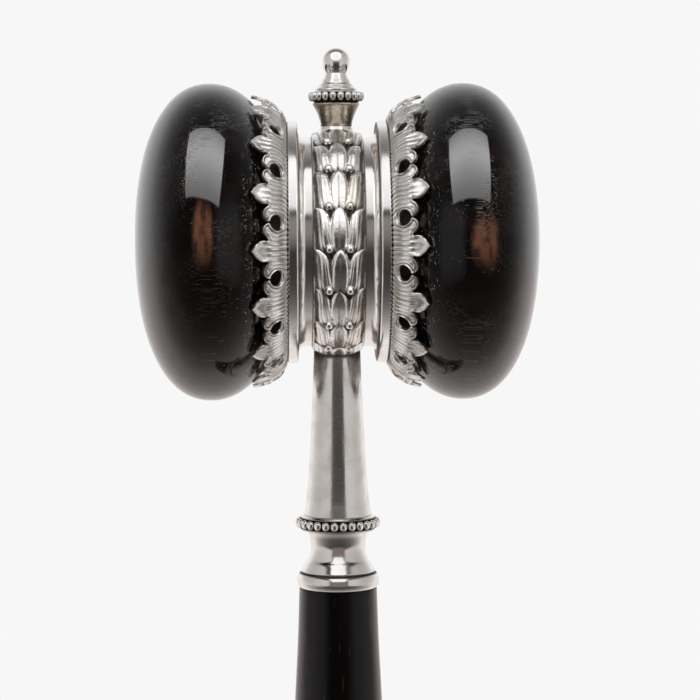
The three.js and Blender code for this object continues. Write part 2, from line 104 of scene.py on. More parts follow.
front_colour = (1, 0.9, 0.85)
# Each lamp stands at angles in degrees round the gavel from its front, left of it if negative, and up from
# the horizontal. Its level is that of a card as bright, and foot and top say what is left of it there. Its
# fades are the shares of its size over which it fades at its left, its right, and its upper and lower edges.
crisp = (0.04, 0.04, 0.04)
box_look = {"elevation": 45, "level": 7.8, "foot": 0.4, "top": 0.5, "fades": (0.02, 0.02, 0.03)}
box_looks = {
    "left": {**box_look, "size": (555 * mm, 500 * mm), "roll": -10},
    "right": {**box_look, "size": (600 * mm, 494 * mm)},
}
board_look = {"level": 2.8, "colour": (1, 0.42, 0.24), "foot": 0.2, "fades": None}
board_looks = {
    "left": {**board_look, "azimuth": -10, "elevation": 5, "size": (380 * mm, 470 * mm)},
    "right": {**board_look, "azimuth": 27, "elevation": -2, "size": (560 * mm, 360 * mm)},
}
screen_azimuths = {"left": 42, "right": -42}
screen_look = {"size": (520 * mm, 560 * mm), "level": 0.3, "fades": (0.3, 0.3, 0.35)}
glow_look = {
    "azimuth": 62, "elevation": -10, "size": (640 * mm, 700 * mm), "level": 0.24,
    "fades": (0.4, 0.4, 0.1),
}
overhead_look = {"elevation": 45, "size": (600 * mm, 500 * mm), "level": 1.05, "foot": 0.8}
card_looks = {
    "left": {"azimuth": -79, "colour": card_colour, "fades": (0.75, 0.05, 0.1)},
    "right": {"azimuth": 80, "colour": card_colour, "fades": (0.05, 0.75, 0.1)},
}
card_size, low_card_size = (1120 * mm, 1500 * mm), (1120 * mm, 1000 * mm)
card_level, vase_side_level, ball_card_level = 0.55, 0.5, 0.4
front_look = {
    "azimuth": 1, "elevation": 10, "size": (400 * mm, 230 * mm), "level": 0.2,
    "colour": front_colour, "foot": 0.3, "fades": (0.04, 0.04, 0.1),
}
table_look = {
    "elevation": -90, "size": (420 * mm, 500 * mm), "level": 0.5,
    "colour": card_colour, "fades": (0.2, 0.2, 0.2),
}
band_gleam_look = {"elevation": 27, "size": (560 * mm, 470 * mm), "level": 0.75, "fades": (0.15, 0.15, 0.3)}
vase_look = {
    "elevation": -28, "size": (1300 * mm, 420 * mm), "level": 0.45,
    "colour": front_colour, "fades": (0.15, 0.15, 0.3),
}
streak_look = {
    "azimuth": 57, "size": (130 * mm, 700 * mm), "level": 2.2,
    "colour": card_colour, "fades": (0.3, 0.3, 0.2),
}
ferrule_overhead_look = {"elevation": 55, "size": (310 * mm, 520 * mm), "level": 1.05}
ferrule_front_look = {
    "elevation": -14, "size": (560 * mm, 620 * mm), "level": 0.17,
    "colour": (1, 0.76, 0.62), "fades": (0.3, 0.3, 0.1),
}
ball_front_look = {"elevation": 21, "size": (480 * mm, 240 * mm), "level": 0.8, "fades": (0.2, 0.2, 0.2)}
# From the middle of a lamp, in shares of its size: where its foot and its top come up to their full level,
# how far an oval reaches, and the values of the noise between which an oval has its darker parts
foot_fade = (-0.5, 0.1)
top_fade = (0.5, 0)
oval_reach = (0.5, 0.22)
oval_noise = (4.5, 3)
oval_gaps = (0.36, 0.55, 0.35, 1)


def put(tree, kind, wires, **settings):
    """Adds a node to a tree. wires gives an input's name or number a value or another node's output."""
    made = tree.nodes.new(kind)
    for name, value in settings.items():
        setattr(made, name, value)
    for name, value in wires.items():
        if isinstance(value, bpy.types.NodeSocket):
            tree.links.new(value, made.inputs[name])
        else:
            made.inputs[name].default_value = value
    return made


def output_of(tree, kind, wires, output=0, **settings):
    """Adds a node to a tree and gives one of its outputs, by name or number."""
    return put(tree, kind, wires, **settings).outputs[output]


def blank_tree(owner):
    """The emptied node tree of a material, a lamp or the world."""
    owner.use_nodes = True
    owner.node_tree.nodes.clear()
    return owner.node_tree


def new_material(name):
    """A material, its emptied tree and the place on the piece that its nodes work from."""
    material = bpy.data.materials.new(name)
    tree = blank_tree(material)
    return material, tree, output_of(tree, "ShaderNodeTexCoord", {}, "Object")


def calculate(tree, operation, first, second=0):
    return output_of(tree, "ShaderNodeMath", {0: first, 1: second}, operation=operation)


def multiply(tree, first, second):
    return calculate(tree, "MULTIPLY", first, second)


def add(tree, first, second):
    return calculate(tree, "ADD", first, second)


def between(tree, value, start, end, low=0.0, high=1.0):
    """A smooth step from low to high as value goes from start to end."""
    wires = {"Value": value, "From Min": start, "From Max": end, "To Min": low, "To Max": high}
    return output_of(tree, "ShaderNodeMapRange", wires, interpolation_type="SMOOTHSTEP")


def vector(tree, operation, *given, output="Vector"):
    return output_of(tree, "ShaderNodeVectorMath", dict(enumerate(given)), output, operation=operation)


def noise(tree, place, scale, detail):
    return output_of(tree, "ShaderNodeTexNoise", {"Vector": place, "Scale": scale, "Detail": detail})


def blend(tree, share, first, second):
    """The first colour where the share is 0 and the second where it is 1."""
    return output_of(tree, "ShaderNodeMix", {0: share, 6: first, 7: second}, 2, data_type="RGBA")


def sweep(tree, direction, upright_lean):
    """How bright the surroundings look in a reflection that points in a direction."""
    leaning = vector(tree, "DOT_PRODUCT", direction, (0, 1, upright_lean), output="Value")
    share = multiply(tree, calculate(tree, "MAXIMUM", add(tree, leaning, 1)), 1 / (1 + sweep_reach))
    share = calculate(tree, "MINIMUM", calculate(tree, "POWER", share, sweep_falloff), 1)
    return add(tree, multiply(tree, share, paper_level - room_level), room_level)


def light_the_room():
    """White for the eye all round. A reflection meets a dim room that brightens towards the sweep."""
    scene.world = bpy.data.worlds.new("studio")
    tree = blank_tree(scene.world)
    direction = output_of(tree, "ShaderNodeTexCoord", {}, "Generated")
    levels = {
        "Is Camera Ray": paper_level,
        "Is Glossy Ray": sweep(tree, direction, ceiling_lean),
        "Is Transmission Ray": paper_level,
        "Is Diffuse Ray": fill_level,
    }
    rays = put(tree, "ShaderNodeLightPath", {}).outputs
    seen = 0
    for kind, level in levels.items():
        seen = add(tree, seen, multiply(tree, rays[kind], level))
    background = output_of(tree, "ShaderNodeBackground", {"Color": white, "Strength": seen})
    put(tree, "ShaderNodeOutputWorld", {"Surface": background})


def floor_paper():
    """Matt paper that keeps the gavel's shadow near it and runs out into the even white of the sweep."""
    material, tree, place = new_material("floor_paper")
    fade = between(tree, vector(tree, "LENGTH", place, output="Value"), *floor_shadow_end)
    direction = vector(tree, "NORMALIZE", vector(tree, "SUBTRACT", place, head_middle))
    mirrored = sweep(tree, direction, -floor_lean)
    rays = put(tree, "ShaderNodeLightPath", {}).outputs
    eye, glossy = rays["Is Camera Ray"], rays["Is Glossy Ray"]
    level = add(tree, multiply(tree, eye, paper_level), multiply(tree, glossy, mirrored))
    share = add(tree, multiply(tree, eye, fade), glossy)
    matt = output_of(tree, "ShaderNodeBsdfDiffuse", {"Color": floor_colour})
    tint = blend(tree, glossy, white, floor_tint)
    even = output_of(tree, "ShaderNodeEmission", {"Color": tint, "Strength": level})
    mixed = output_of(tree, "ShaderNodeMixShader", {0: share, 1: matt, 2: even})
    put(tree, "ShaderNodeOutputMaterial", {"Surface": mixed})
    return material


def soft_lamp(
    name, target, size, level, azimuth=0, elevation=0, roll=0, colour=lamp_white, foot=1, top=1, fades=crisp
):
    """A flat lamp that only lights what is added to its collection. With no fades it is an uneven oval."""
    lamp = bpy.data.objects.new(name, bpy.data.lights.new(name, "AREA"))
    lamp.data.shape = "RECTANGLE"
    lamp.data.size, lamp.data.size_y = size
    lamp.data.energy = level * math.pi * size[0] * size[1]
    lamp.data.color = colour
    tree = blank_tree(lamp.data)
    place = output_of(tree, "ShaderNodeNewGeometry", {}, "Parametric")
    from_middle = vector(tree, "SUBTRACT", place, (0.5, 0.5, 0))
    across, up, _ = put(tree, "ShaderNodeSeparateXYZ", {0: from_middle}).outputs
    if fades:
        left, right, upright = fades
        glow = between(tree, across, -0.5, left - 0.5)
        glow = multiply(tree, glow, between(tree, across, 0.5, 0.5 - right))
        glow = multiply(tree, glow, between(tree, calculate(tree, "ABSOLUTE", up), 0.5, 0.5 - upright))
    else:
        reach = vector(tree, "LENGTH", from_middle, output="Value")
        uneven = noise(tree, place, *oval_noise)
        glow = multiply(tree, between(tree, reach, *oval_reach), between(tree, uneven, *oval_gaps))
    glow = multiply(tree, glow, between(tree, up, *foot_fade, foot))
    glow = multiply(tree, glow, between(tree, up, *top_fade, top))
    shine = output_of(tree, "ShaderNodeEmission", {"Color": white, "Strength": glow})
    put(tree, "ShaderNodeOutputLight", {"Surface": shine})
    around, rise = math.radians(azimuth), math.radians(elevation)
    level_reach = math.cos(rise)
    outwards = Vector((math.sin(around) * level_reach, -math.cos(around) * level_reach, math.sin(rise)))
    lamp.location = target + outwards * lamp_distance
    lamp.rotation_mode = "QUATERNION"
    lamp.rotation_quaternion = outwards.to_track_quat("Z", "Y") @ Quaternion((0, 0, 1), math.radians(roll))
    lamp.visible_camera = False
    lamp.light_linking.receiver_collection = bpy.data.collections.new(name)
    scene.collection.objects.link(lamp)
    return lamp


def cards(name, target, size, level):
    """A card at each side of the gavel. Its light fades backwards, where the sweep's begins."""
    return [soft_lamp(f"{side}_{name}", target, size, level, **look) for side, look in card_looks.items()]


def lamp_pair(name, azimuth, **look):
    """Two lamps, one as far to the left as the other is to the right."""
    turns = (-azimuth, azimuth)
    return [soft_lamp(f"{name}_{k}", head_middle, azimuth=turn, **look) for k, turn in enumerate(turns)]


def lit_by(piece, *chosen):
    for lamp in chosen:
        lamp.light_linking.receiver_collection.objects.link(piece)


light_the_room()
boxes, boards, screens = {}, {}, {}
for name, eye in cheek_eyes.items():
    boxes[name] = soft_lamp(f"{name}_box", box_targets[name], **box_looks[name])
    boards[name] = soft_lamp(f"{name}_board", eye, **board_looks[name])
    screens[name] = soft_lamp(f"{name}_screen", eye, azimuth=screen_azimuths[name], **screen_look)
glows = lamp_pair("glow", **glow_look)
silver_lamps = [
    soft_lamp("overhead", overhead_target, **overhead_look),
    *cards("card", head_middle, card_size, card_level),
    soft_lamp("front_card", head_middle, **front_look),
    *[soft_lamp(f"table_{k}", spot, **table_look) for k, spot in enumerate(table_places)],
]
band_gleam = soft_lamp("band_gleam", head_middle, **band_gleam_look)
vase_lamps = [
    soft_lamp("vase_card", head_middle, **vase_look),
    *cards("vase_side", head_middle, card_size, vase_side_level),
    *lamp_pair("streak", **streak_look),
]
ferrule_lamps = [
    soft_lamp("ferrule_overhead", ferrule_middle, **ferrule_overhead_look),
    soft_lamp("ferrule_front", ferrule_middle, **ferrule_front_look),
    *cards("low_card", ferrule_middle, low_card_size, card_level),
]
ball_lamps = [
    soft_lamp("ball_front", head_middle, **ball_front_look),
    *cards("ball_card", head_middle, card_size, ball_card_level),
]

floor_mesh = bpy.data.meshes.new("floor")
floor_ends = (-floor_radius, floor_radius)
corners = [(x, y, 0) for x, y in zip(floor_ends + floor_ends[::-1], np.repeat(floor_ends, 2))]
floor_mesh.from_pydata(corners, [], [(0, 1, 2, 3)])
floor_mesh.materials.append(floor_paper())
floor = bpy.data.objects.new("floor", floor_mesh)
scene.collection.objects.link(floor)
lit_by(floor, *boxes.values())

# Handle. A turned and polished ebony grip, slim under the ferrule and swelling towards a flat butt. Its
# tenon runs up inside the silver socket, and it is bored for the tie rod that holds the gavel together.
handle_foot, handle_head = (corner.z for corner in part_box("handle"))
shoulder_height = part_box("ferrule_base")[0].z
handle_top_radius = 9.4 * mm
grip_radius = 13.6 * mm
butt_radius = 10 * mm
tenon_radius = 4.4 * mm
rod_hole_radius = 2.3 * mm
rod_hole_depth = 33.3 * mm
butt_rounding = 1.2 * mm
edge_rounding = 0.25 * mm
rounding_share = 0.45  # of the shorter side at a corner, the most that is rounded
sharp_turn = math.radians(25)
no_length = 1e-6 * mm
# Shares of the swelling and of the length up from the butt
grip_shares = [
    [0.67, 0.024], [0.905, 0.096], [1, 0.22], [0.88, 0.4],
    [0.548, 0.6], [0.25, 0.8], [0.095, 0.904], [0, 1],
]
ebony_dark = (0.0016, 0.0013, 0.0012, 1)
ebony_brown = (0.006, 0.0038, 0.003, 1)
scratch_colour = (0.11, 0.085, 0.07, 1)
polish_colour = (0.45, 0.44, 0.43, 1)
fibre_stretch = 0.045  # how much wider a mark is across the grain's direction, turned round
hairline_stretch = 0.012
# Each mark's noise, its detail, and the values of the noise between which the mark comes in
ebony_marks = {
    "pores": (5200, 1, 0.7, 0.78),
    "scratches": (2300, 1, 0.69, 0.75),
    "scratched places": (55, 2, 0.4, 0.6),
    "hairlines": (4600, 1, 0.58, 0.66),
    "handled places": (75, 2, 0.45, 0.62),
    "specks": (3600, 1, 0.675, 0.71),
    "specked places": (420, 1, 0.46, 0.58),
}
streak_noise, swell_noise = (260, 5), (38, 1)
streak_edges = (0.45, 0.8)
streak_dullness = (0.3, 0.9, 0.035, 0.07)
scratch_tint, hairline_tint = 0.28, 0.12
scratch_dullness, hairline_dullness, hidden_dullness = 0.3, 0.16, 0.55
pit_height, hairline_height = -0.3, -0.6
ebony_relief, ebony_relief_depth, swell_depth = 0.5, 0.07 * mm, 0.12 * mm
ebony_gloss = 1.5  # its index of refraction
ebony_steps = 192
speck_start = (17 * mm, 18 * mm)  # where the specks of old polish begin and end along the striking axis
speck_end = (22.8 * mm, 21.5 * mm)
dull_end = (17.8 * mm, 16.6 * mm)  # the wood under the leaf crown is dull


def smooth_line(stations, steps):
    """Points along a smooth line through the stations."""
    stations = np.array(stations, float)
    ends = [2 * stations[0] - stations[1], *stations, 2 * stations[-1] - stations[-2]]
    points = []
    for k in range(len(stations) - 1):
        before, start, end, after = ends[k : k + 4]
        bend = 2 * before - 5 * start + 4 * end - after
        twist = 3 * start - before - 3 * end + after
        for share in np.arange(steps) / steps:
            points.append((2 * start + (end - before) * share + bend * share**2 + twist * share**3) / 2)
    return [list(point) for point in [*points, stations[-1]]]


def softened(profile, rounding, steps=3):
    """The profile with each sharp corner turned into a small round."""
    profile = [np.array(point, float) for point in profile]
    rounded = [profile[0]]
    for before, corner, after in zip(profile, profile[1:], profile[2:]):
        to_before, to_after = before - corner, after - corner
        before_length, after_length = np.linalg.norm(to_before), np.linalg.norm(to_after)
        turn = math.acos(np.clip(-to_before @ to_after / (before_length * after_length), -1, 1))
        if turn < sharp_turn:
            rounded.append(corner)
            continue
        length = min(min(before_length, after_length) * rounding_share, rounding)
        start = corner + to_before / before_length * length
        end = corner + to_after / after_length * length
        for share in np.linspace(0, 1, steps + 1):
            rounded.append((1 - share) ** 2 * start + 2 * share * (1 - share) * corner + share**2 * end)
    return [list(point) for point in [*rounded, profile[-1]]]


def scaled(shares, low_radius, high_radius, foot, top):
    """Points [radius, height] from shares of the step between two radii and of a height."""
    return [[low_radius + (high_radius - low_radius) * out, foot + (top - foot) * up] for out, up in shares]


def turned(profile, steps):
    """Points and faces of a piece turned about Z. The profile is [radius, height], up the outside, and it
    starts and ends on the axis or closes on itself."""
    points, rings = [], []
    for radius, height in profile:
        if radius < no_length:
            rings.append([len(points)] * steps)
            points.append((0, 0, height))
            continue
        rings.append(range(len(points), len(points) + steps))
        for k in range(steps):
            angle = 2 * math.pi * k / steps
            points.append((radius * math.cos(angle), radius * math.sin(angle), height))
    if profile[0][0] > no_length:
        rings.append(rings[0])
    faces = []
    for low, high in zip(rings, rings[1:]):
        for k in range(steps):
            after = (k + 1) % steps
            face = dict.fromkeys([low[k], low[after], high[after], high[k]])
            if len(face) > 2:
                faces.append(list(face))
    return np.array(points), faces


def shaped(name, points, faces, material, sharp=40):
    """A smooth-shaded object at the origin, with its place in its mesh."""
    mesh = bpy.data.meshes.new(name)
    mesh.from_pydata([tuple(point) for point in points], [], faces)
    mesh.materials.append(material)
    mesh.shade_smooth()
    mesh.set_sharp_from_angle(angle=math.radians(sharp))
    made = bpy.data.objects.new(name, mesh)
    scene.collection.objects.link(made)
    return made


def stretched(tree, place, scale, turn=(0, 0, 0)):
    """Places for a noise that is drawn out along the axes whose scale is small."""
    return output_of(tree, "ShaderNodeMapping", {"Vector": place, "Rotation": turn, "Scale": scale})


def bump(tree, strength, depth, height, normal=None):
    """The normal of a surface with a fine relief on it."""
    wires = {"Strength": strength, "Distance": depth, "Height": height}
    if normal is not None:
        wires["Normal"] = normal
    return output_of(tree, "ShaderNodeBump", wires)


def finish_surface(tree, wires):
    surface = output_of(tree, "ShaderNodeBsdfPrincipled", wires)
    put(tree, "ShaderNodeOutputMaterial", {"Surface": surface})


def ebony(name, along, specked=False):
    """Polished ebony: near black, with brown streaks, fine open pores and short handling scratches along its
    grain. along is 0 for a grain along X and 2 for one along Z. Specks are old polish by the leaf tips."""
    material, tree, place = new_material(name)
    fibres = stretched(tree, place, [fibre_stretch if axis == along else 1 for axis in range(3)])
    drawn_out = stretched(tree, place, [hairline_stretch if axis == along else 1 for axis in range(3)])

    def marks(kind, where):
        scale, detail, start, end = ebony_marks[kind]
        return between(tree, noise(tree, where, scale, detail), start, end)

    streaks = noise(tree, fibres, *streak_noise)
    scratches = multiply(tree, marks("scratches", fibres), marks("scratched places", place))
    hairlines = multiply(tree, marks("hairlines", drawn_out), marks("handled places", place))
    wood = blend(tree, between(tree, streaks, *streak_edges), ebony_dark, ebony_brown)
    scuffed = add(tree, multiply(tree, scratches, scratch_tint), multiply(tree, hairlines, hairline_tint))
    wood = blend(tree, scuffed, wood, scratch_colour)
    dull = add(tree, multiply(tree, scratches, scratch_dullness), between(tree, streaks, *streak_dullness))
    dull = add(tree, dull, multiply(tree, hairlines, hairline_dullness))
    if specked:
        reach = calculate(tree, "ABSOLUTE", output_of(tree, "ShaderNodeSeparateXYZ", {0: place}, "X"))
        dull = add(tree, dull, between(tree, reach, *dull_end, 0, hidden_dullness))
        near_tips = multiply(tree, between(tree, reach, *speck_start), between(tree, reach, *speck_end))
        near_tips = multiply(tree, near_tips, marks("specked places", place))
        wood = blend(tree, multiply(tree, marks("specks", place), near_tips), wood, polish_colour)
    relief = multiply(tree, marks("pores", fibres), pit_height)
    relief = add(tree, relief, multiply(tree, scratches, pit_height))
    relief = add(tree, relief, multiply(tree, hairlines, hairline_height))
    grained = bump(tree, ebony_relief, ebony_relief_depth, relief)
    swelled = bump(tree, ebony_relief, swell_depth, noise(tree, place, *swell_noise), grained)
    finish_surface(tree, {"Base Color": wood, "Roughness": dull, "IOR": ebony_gloss, "Normal": swelled})
    return material


def handle_profile():
    grip = scaled(grip_shares, handle_top_radius, grip_radius, handle_foot, shoulder_height)
    grip = smooth_line([[butt_radius, handle_foot], *grip], steps=12)
    outside = [[0, handle_foot], [butt_radius - butt_rounding, handle_foot], *grip]
    hole_end = shoulder_height - rod_hole_depth
    tenon = [[tenon_radius, shoulder_height], [tenon_radius, handle_head]]
    hole = [[rod_hole_radius, handle_head], [rod_hole_radius, hole_end], [0, hole_end]]
    return softened([*outside, *tenon, *hole], edge_rounding)


handle = shaped("ebony_handle", *turned(handle_profile(), ebony_steps), ebony("handle_ebony", 2))
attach(handle, "root")
lit_by(handle, *glows)
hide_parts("handle")

# Tie rod. A steel rod threaded through the handle, the socket and the head, up into the finial. It pulls the
# stack together and is not seen from outside.
steel_bright = (0.55, 0.55, 0.57, 1)
steel_dull = (0.32, 0.31, 0.31, 1)
steel_roughness = 0.3
drawn_stretch = (1, 1, 0.05)
drawn_noise, skin_noise = (3000, 3), (220, 4)
skin_edges, skin_dullness_edges, skin_dullness = (0.35, 0.7), (0.2, 0.8), 0.2
drawn_relief, drawn_depth = 0.3, 0.03 * mm


def drawn_metal(name, bright, dull, roughness):
    """Drawn rod with faint lengthwise marks and a dull skin."""
    material, tree, place = new_material(name)
    marks = noise(tree, stretched(tree, place, drawn_stretch), *drawn_noise)
    skin = noise(tree, place, *skin_noise)
    wires = {
        "Base Color": blend(tree, between(tree, skin, *skin_edges), bright, dull),
        "Metallic": 1.0,
        "Roughness": between(tree, skin, *skin_dullness_edges, roughness, roughness + skin_dullness),
        "Normal": bump(tree, drawn_relief, drawn_depth, marks),
    }
    finish_surface(tree, wires)
    return material


def refinish(node, material):
    """Gives a carried-over solid its finish."""
    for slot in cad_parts[node].material_slots:
        slot.link = "OBJECT"
        slot.material = material


steel = drawn_metal("drawn_steel", steel_bright, steel_dull, steel_roughness)
refinish("tie_rod", steel)

# Ferrule base. A half-round silver ring, spun and polished, that sits on the shoulder of the handle.
silver_bright = (0.9, 0.885, 0.868, 1)
silver_warm = (0.64, 0.575, 0.495, 1)
silver_oxide = (0.035, 0.029, 0.026, 1)
grey_oxide = (0.17, 0.145, 0.13, 1)
silver_steps = 160
base_radius = 9.9 * mm
base_overlap = 0.3 * mm
base_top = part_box("ferrule_waist")[0].z
silver_bore = 4.7 * mm
joint_dirt, joint_reach = 0.8, 0.16 * mm
# Noises of the film, its spots, the polishing scratches, the lathe lines and the chaser's tool marks
film_noise, spot_noise, hair_noise = (130, 5), (900, 3), (3800, 2)
lathe_noise, tool_noise = (2600, 2), (1500, 3)
hair_turn, hair_stretch, lathe_stretch = (0.5, 0.9, 0.3), (1, 0.12, 1), (0.02, 0.02, 1)
film_edges, spot_edges, spot_share = (0.4, 0.72), (0.62, 0.75), 0.5
film_dullness_edges, film_dullness, dirt_dullness = (0.35, 0.75), 0.12, 0.35
dirt_edges, dirt_spots, oxide_edges = (0.3, 1.0), 0.25, (0.6, 1.0)
hair_height, hair_relief, hair_depth = 0.5, 0.22, 0.012 * mm
dent_relief, dent_depth, tool_depth = 0.4, 0.06 * mm, 0.05 * mm
tool_growth = (19 * mm, 24 * mm, 1, 3.6)  # from the level of the head's middle, and how rough they get


def silver(name, tarnish=0.35, roughness=0.13, lathe=0, warm=silver_warm, bright=silver_bright, chased=0):
    """Old polished silver: a warm film in patches, dark oxide in the hollows and, on some pieces, painted
    shade where the mesh says, fine polishing scratches and, on spun work, faint lathe lines round Z."""
    material, tree, place = new_material(name)
    oxide_and_shade = output_of(tree, "ShaderNodeAttribute", {}, "Fac", attribute_name="oxide_and_shade")
    film = noise(tree, place, *film_noise)
    spots = noise(tree, place, *spot_noise)
    hairs = noise(tree, stretched(tree, place, hair_stretch, hair_turn), *hair_noise)
    rings = noise(tree, stretched(tree, place, lathe_stretch), *lathe_noise)
    filmed = multiply(tree, between(tree, film, *film_edges), tarnish)
    filmed = add(tree, filmed, multiply(tree, between(tree, spots, *spot_edges), tarnish * spot_share))
    # Darkest where the mesh holds oxide, joint dirt or painted shade
    oxide_dirt_and_shade = between(tree, add(tree, oxide_and_shade, multiply(tree, spots, dirt_spots)), *dirt_edges)
    oxide = blend(tree, between(tree, oxide_and_shade, *oxide_edges), grey_oxide, silver_oxide)
    shade = blend(tree, oxide_dirt_and_shade, blend(tree, filmed, bright, warm), oxide)
    dull = between(tree, film, *film_dullness_edges, roughness, roughness + film_dullness)
    dull = add(tree, dull, multiply(tree, oxide_dirt_and_shade, dirt_dullness))
    marks = add(tree, multiply(tree, hairs, hair_height), multiply(tree, rings, lathe))
    normal = bump(tree, dent_relief, dent_depth, film, bump(tree, hair_relief, hair_depth, marks))
    if chased:
        upright = output_of(tree, "ShaderNodeSeparateXYZ", {0: place}, "Z")
        from_middle = calculate(tree, "ABSOLUTE", add(tree, upright, -head_middle.z))
        growth = between(tree, from_middle, *tool_growth)
        tool_marks = multiply(tree, noise(tree, place, *tool_noise), growth)
        normal = bump(tree, chased, tool_depth, tool_marks, normal)
    finish_surface(tree, {"Base Color": shade, "Metallic": 1.0, "Roughness": dull, "Normal": normal})
    return material


def smooth_step(value, start, end):
    share = np.clip((value - start) / (end - start), 0, 1)
    return share * share * (3 - 2 * share)


def ridge(offset, width):
    """1 on a line, fading away from it over a width."""
    return np.exp(-((offset / width) ** 2))


def shade_hollows(made, oxide_and_shade):
    """Keeps how dark each point is, from 0 to 1, for the finish: oxide and dirt in hollows and joints, and
    on some pieces painted shade.
    """
    made.data.attributes.new("oxide_and_shade", "FLOAT", "POINT").data.foreach_set("value", oxide_and_shade.astype(np.float32))


def grime(points, joints, reach=joint_reach):
    """How hollow points turned about Z are, from the dirt in the joints at these heights."""
    return joint_dirt * np.max([ridge(points[:, 2] - joint, reach) for joint in joints], axis=0)


def arc(middle, radial, axial, start, end, steps, squareness=2):
    """Points of a round whose middle is [radius, height], from one angle to another in degrees. A squareness
    of 2 makes an ellipse of it, and more makes it fuller."""
    points = []
    for angle in np.radians(np.linspace(start, end, steps + 1)):
        out, up = [abs(turn) ** (2 / squareness) for turn in (math.cos(angle), math.sin(angle))]
        points.append([middle[0] + radial * out, middle[1] + axial * math.copysign(up, angle)])
    return points


polished = silver("polished_silver", lathe=0.6)
base_bulge = base_radius - handle_top_radius + base_overlap
base_middle = [base_radius - base_bulge, (shoulder_height + base_top) / 2]
base_round = arc(base_middle, base_bulge, (base_top - shoulder_height) / 2, -90, 90, steps=16)
base_profile = [[silver_bore, shoulder_height], *base_round, [silver_bore, base_top]]
base_points, base_faces = turned(base_profile, silver_steps)
base = shaped("ferrule_base_ring", base_points, base_faces, polished)
shade_hollows(base, grime(base_points, [shoulder_height, base_top]))
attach(base, "root")
lit_by(base, *ferrule_lamps)
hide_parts("ferrule_base")

# Ferrule waist. A spun silver collar that flares from its waist down to a rim on the base ring, with a
# narrow step under the bead ring.
waist_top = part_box("socket_bead_ring")[0].z
waist_rim_radius = 8.95 * mm
waist_rim_step = 0.3 * mm
waist_radius = 6.5 * mm
waist_top_radius = 7.5 * mm
waist_shares = [[1, 0.06], [0.57, 0.24], [0.22, 0.36], [0, 0.58], [0.15, 0.85]]

waist_side = scaled(waist_shares, waist_radius, waist_rim_radius, base_top, waist_top)
waist_side = smooth_line([*waist_side, [waist_top_radius, waist_top]], steps=10)
waist_rim = [waist_rim_radius - waist_rim_step, base_top]
waist_profile = [[silver_bore, base_top], waist_rim, *waist_side, [silver_bore, waist_top]]
waist_points, waist_faces = turned(softened(waist_profile, edge_rounding), silver_steps)
waist = shaped("ferrule_waist_collar", waist_points, waist_faces, polished)
shade_hollows(waist, grime(waist_points, [base_top, waist_top]))
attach(waist, "root")
lit_by(waist, *ferrule_lamps)
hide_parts("ferrule_waist")

# Socket. A trumpet of sheet silver over the tenon, closed at its top and dressed to the laurel band that it
# carries. Its face is plain and bare, softly worn by hands.
socket_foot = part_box("socket_bead_ring")[1].z
band_foot = socket_foot + 38.6 * mm
head_height = head_middle.z
socket_foot_radius = 8.3 * mm
socket_top_radius = 5.6 * mm
socket_wall = 1.0 * mm
socket_roof = 7 * mm
socket_reach, socket_reach_points = 3 * mm, 6  # up past the band's foot, before it is dressed to the band
band_half_width = 6 * mm
band_radius = 26.9 * mm
band_rim_radius = 25.7 * mm
saddle_gap = 0.3 * mm
trumpet_shares = [
    [0.94, 0], [0.83, 0.05], [0.73, 0.1], [0.57, 0.22],
    [0.43, 0.35], [0.33, 0.5], [0.15, 0.74], [0, 1],
]
# Painted reflection of the dark cheeks on the socket's sides below the band: its darkness, where it starts
# out from the middle, and where it rises towards the band
painted_cheek_reflection, cheek_reflection_start, cheek_reflection_rise = 0.62, (2.2 * mm, 4.2 * mm), (-9 * mm, -3.5 * mm)
# Painted shade under the band, with dirt in the joint: its darkness and its reach down the socket
under_band_shade_and_dirt, under_band_shade_reach = 0.75, 1.2 * mm


def band_surface(across):
    """The band's outer radius at a distance across it."""
    return band_rim_radius + (band_radius - band_rim_radius) * (1 - (across / band_half_width) ** 2)


def saddled(points, sign):
    """Keeps a piece's points clear of the band above them, for sign -1, or below them, for sign 1."""
    kept = points.copy()
    reach = band_surface(np.clip(points[:, 0], -band_half_width, band_half_width)) + saddle_gap
    edge = head_height + sign * np.sqrt(np.maximum(reach**2 - points[:, 1] ** 2, 0))
    kept[:, 2] = np.maximum(points[:, 2], edge) if sign > 0 else np.minimum(points[:, 2], edge)
    return kept


def socket_profile():
    outside = scaled(trumpet_shares, socket_top_radius, socket_foot_radius, socket_foot, band_foot)
    outside = smooth_line(outside, steps=12)
    roof, top = band_foot - socket_roof, band_foot + socket_reach
    inside = [[max(radius - socket_wall, silver_bore), height] for radius, height in outside]
    inside = [point for point in inside if point[1] < roof - saddle_gap]
    rise = [[socket_top_radius, height] for height in np.linspace(band_foot, top, socket_reach_points)[1:]]
    bored = [[rod_hole_radius, top], [rod_hole_radius, roof], [silver_bore, roof]]
    return [*outside, *rise, *bored, *inside[::-1]]


def socket_dirt_and_shade(points):
    """Dirt at the foot, painted shade with dirt in the joint under the band, and a painted reflection of the
    dark cheeks on the sides below the band.
    """
    up = points[:, 2] - band_foot
    # A painted reflection of the dark cheeks, darkening the sides below the band
    film = painted_cheek_reflection * smooth_step(np.abs(points[:, 0]), *cheek_reflection_start) * smooth_step(up, *cheek_reflection_rise)
    # Painted shade under the band, with dirt in the joint
    under_band = under_band_shade_and_dirt * smooth_step(up, -under_band_shade_reach, 0)
    return np.max([grime(points, [socket_foot]), film, under_band], axis=0)


worn = silver("worn_silver", tarnish=0.6, roughness=0.15, lathe=0.8, chased=0.1)
socket_points, socket_faces = turned(socket_profile(), silver_steps)
socket = shaped("socket_sleeve", saddled(socket_points, -1), socket_faces, worn)
shade_hollows(socket, socket_dirt_and_shade(socket_points))
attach(socket, "root")
lit_by(socket, *silver_lamps)
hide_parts("socket_cone")

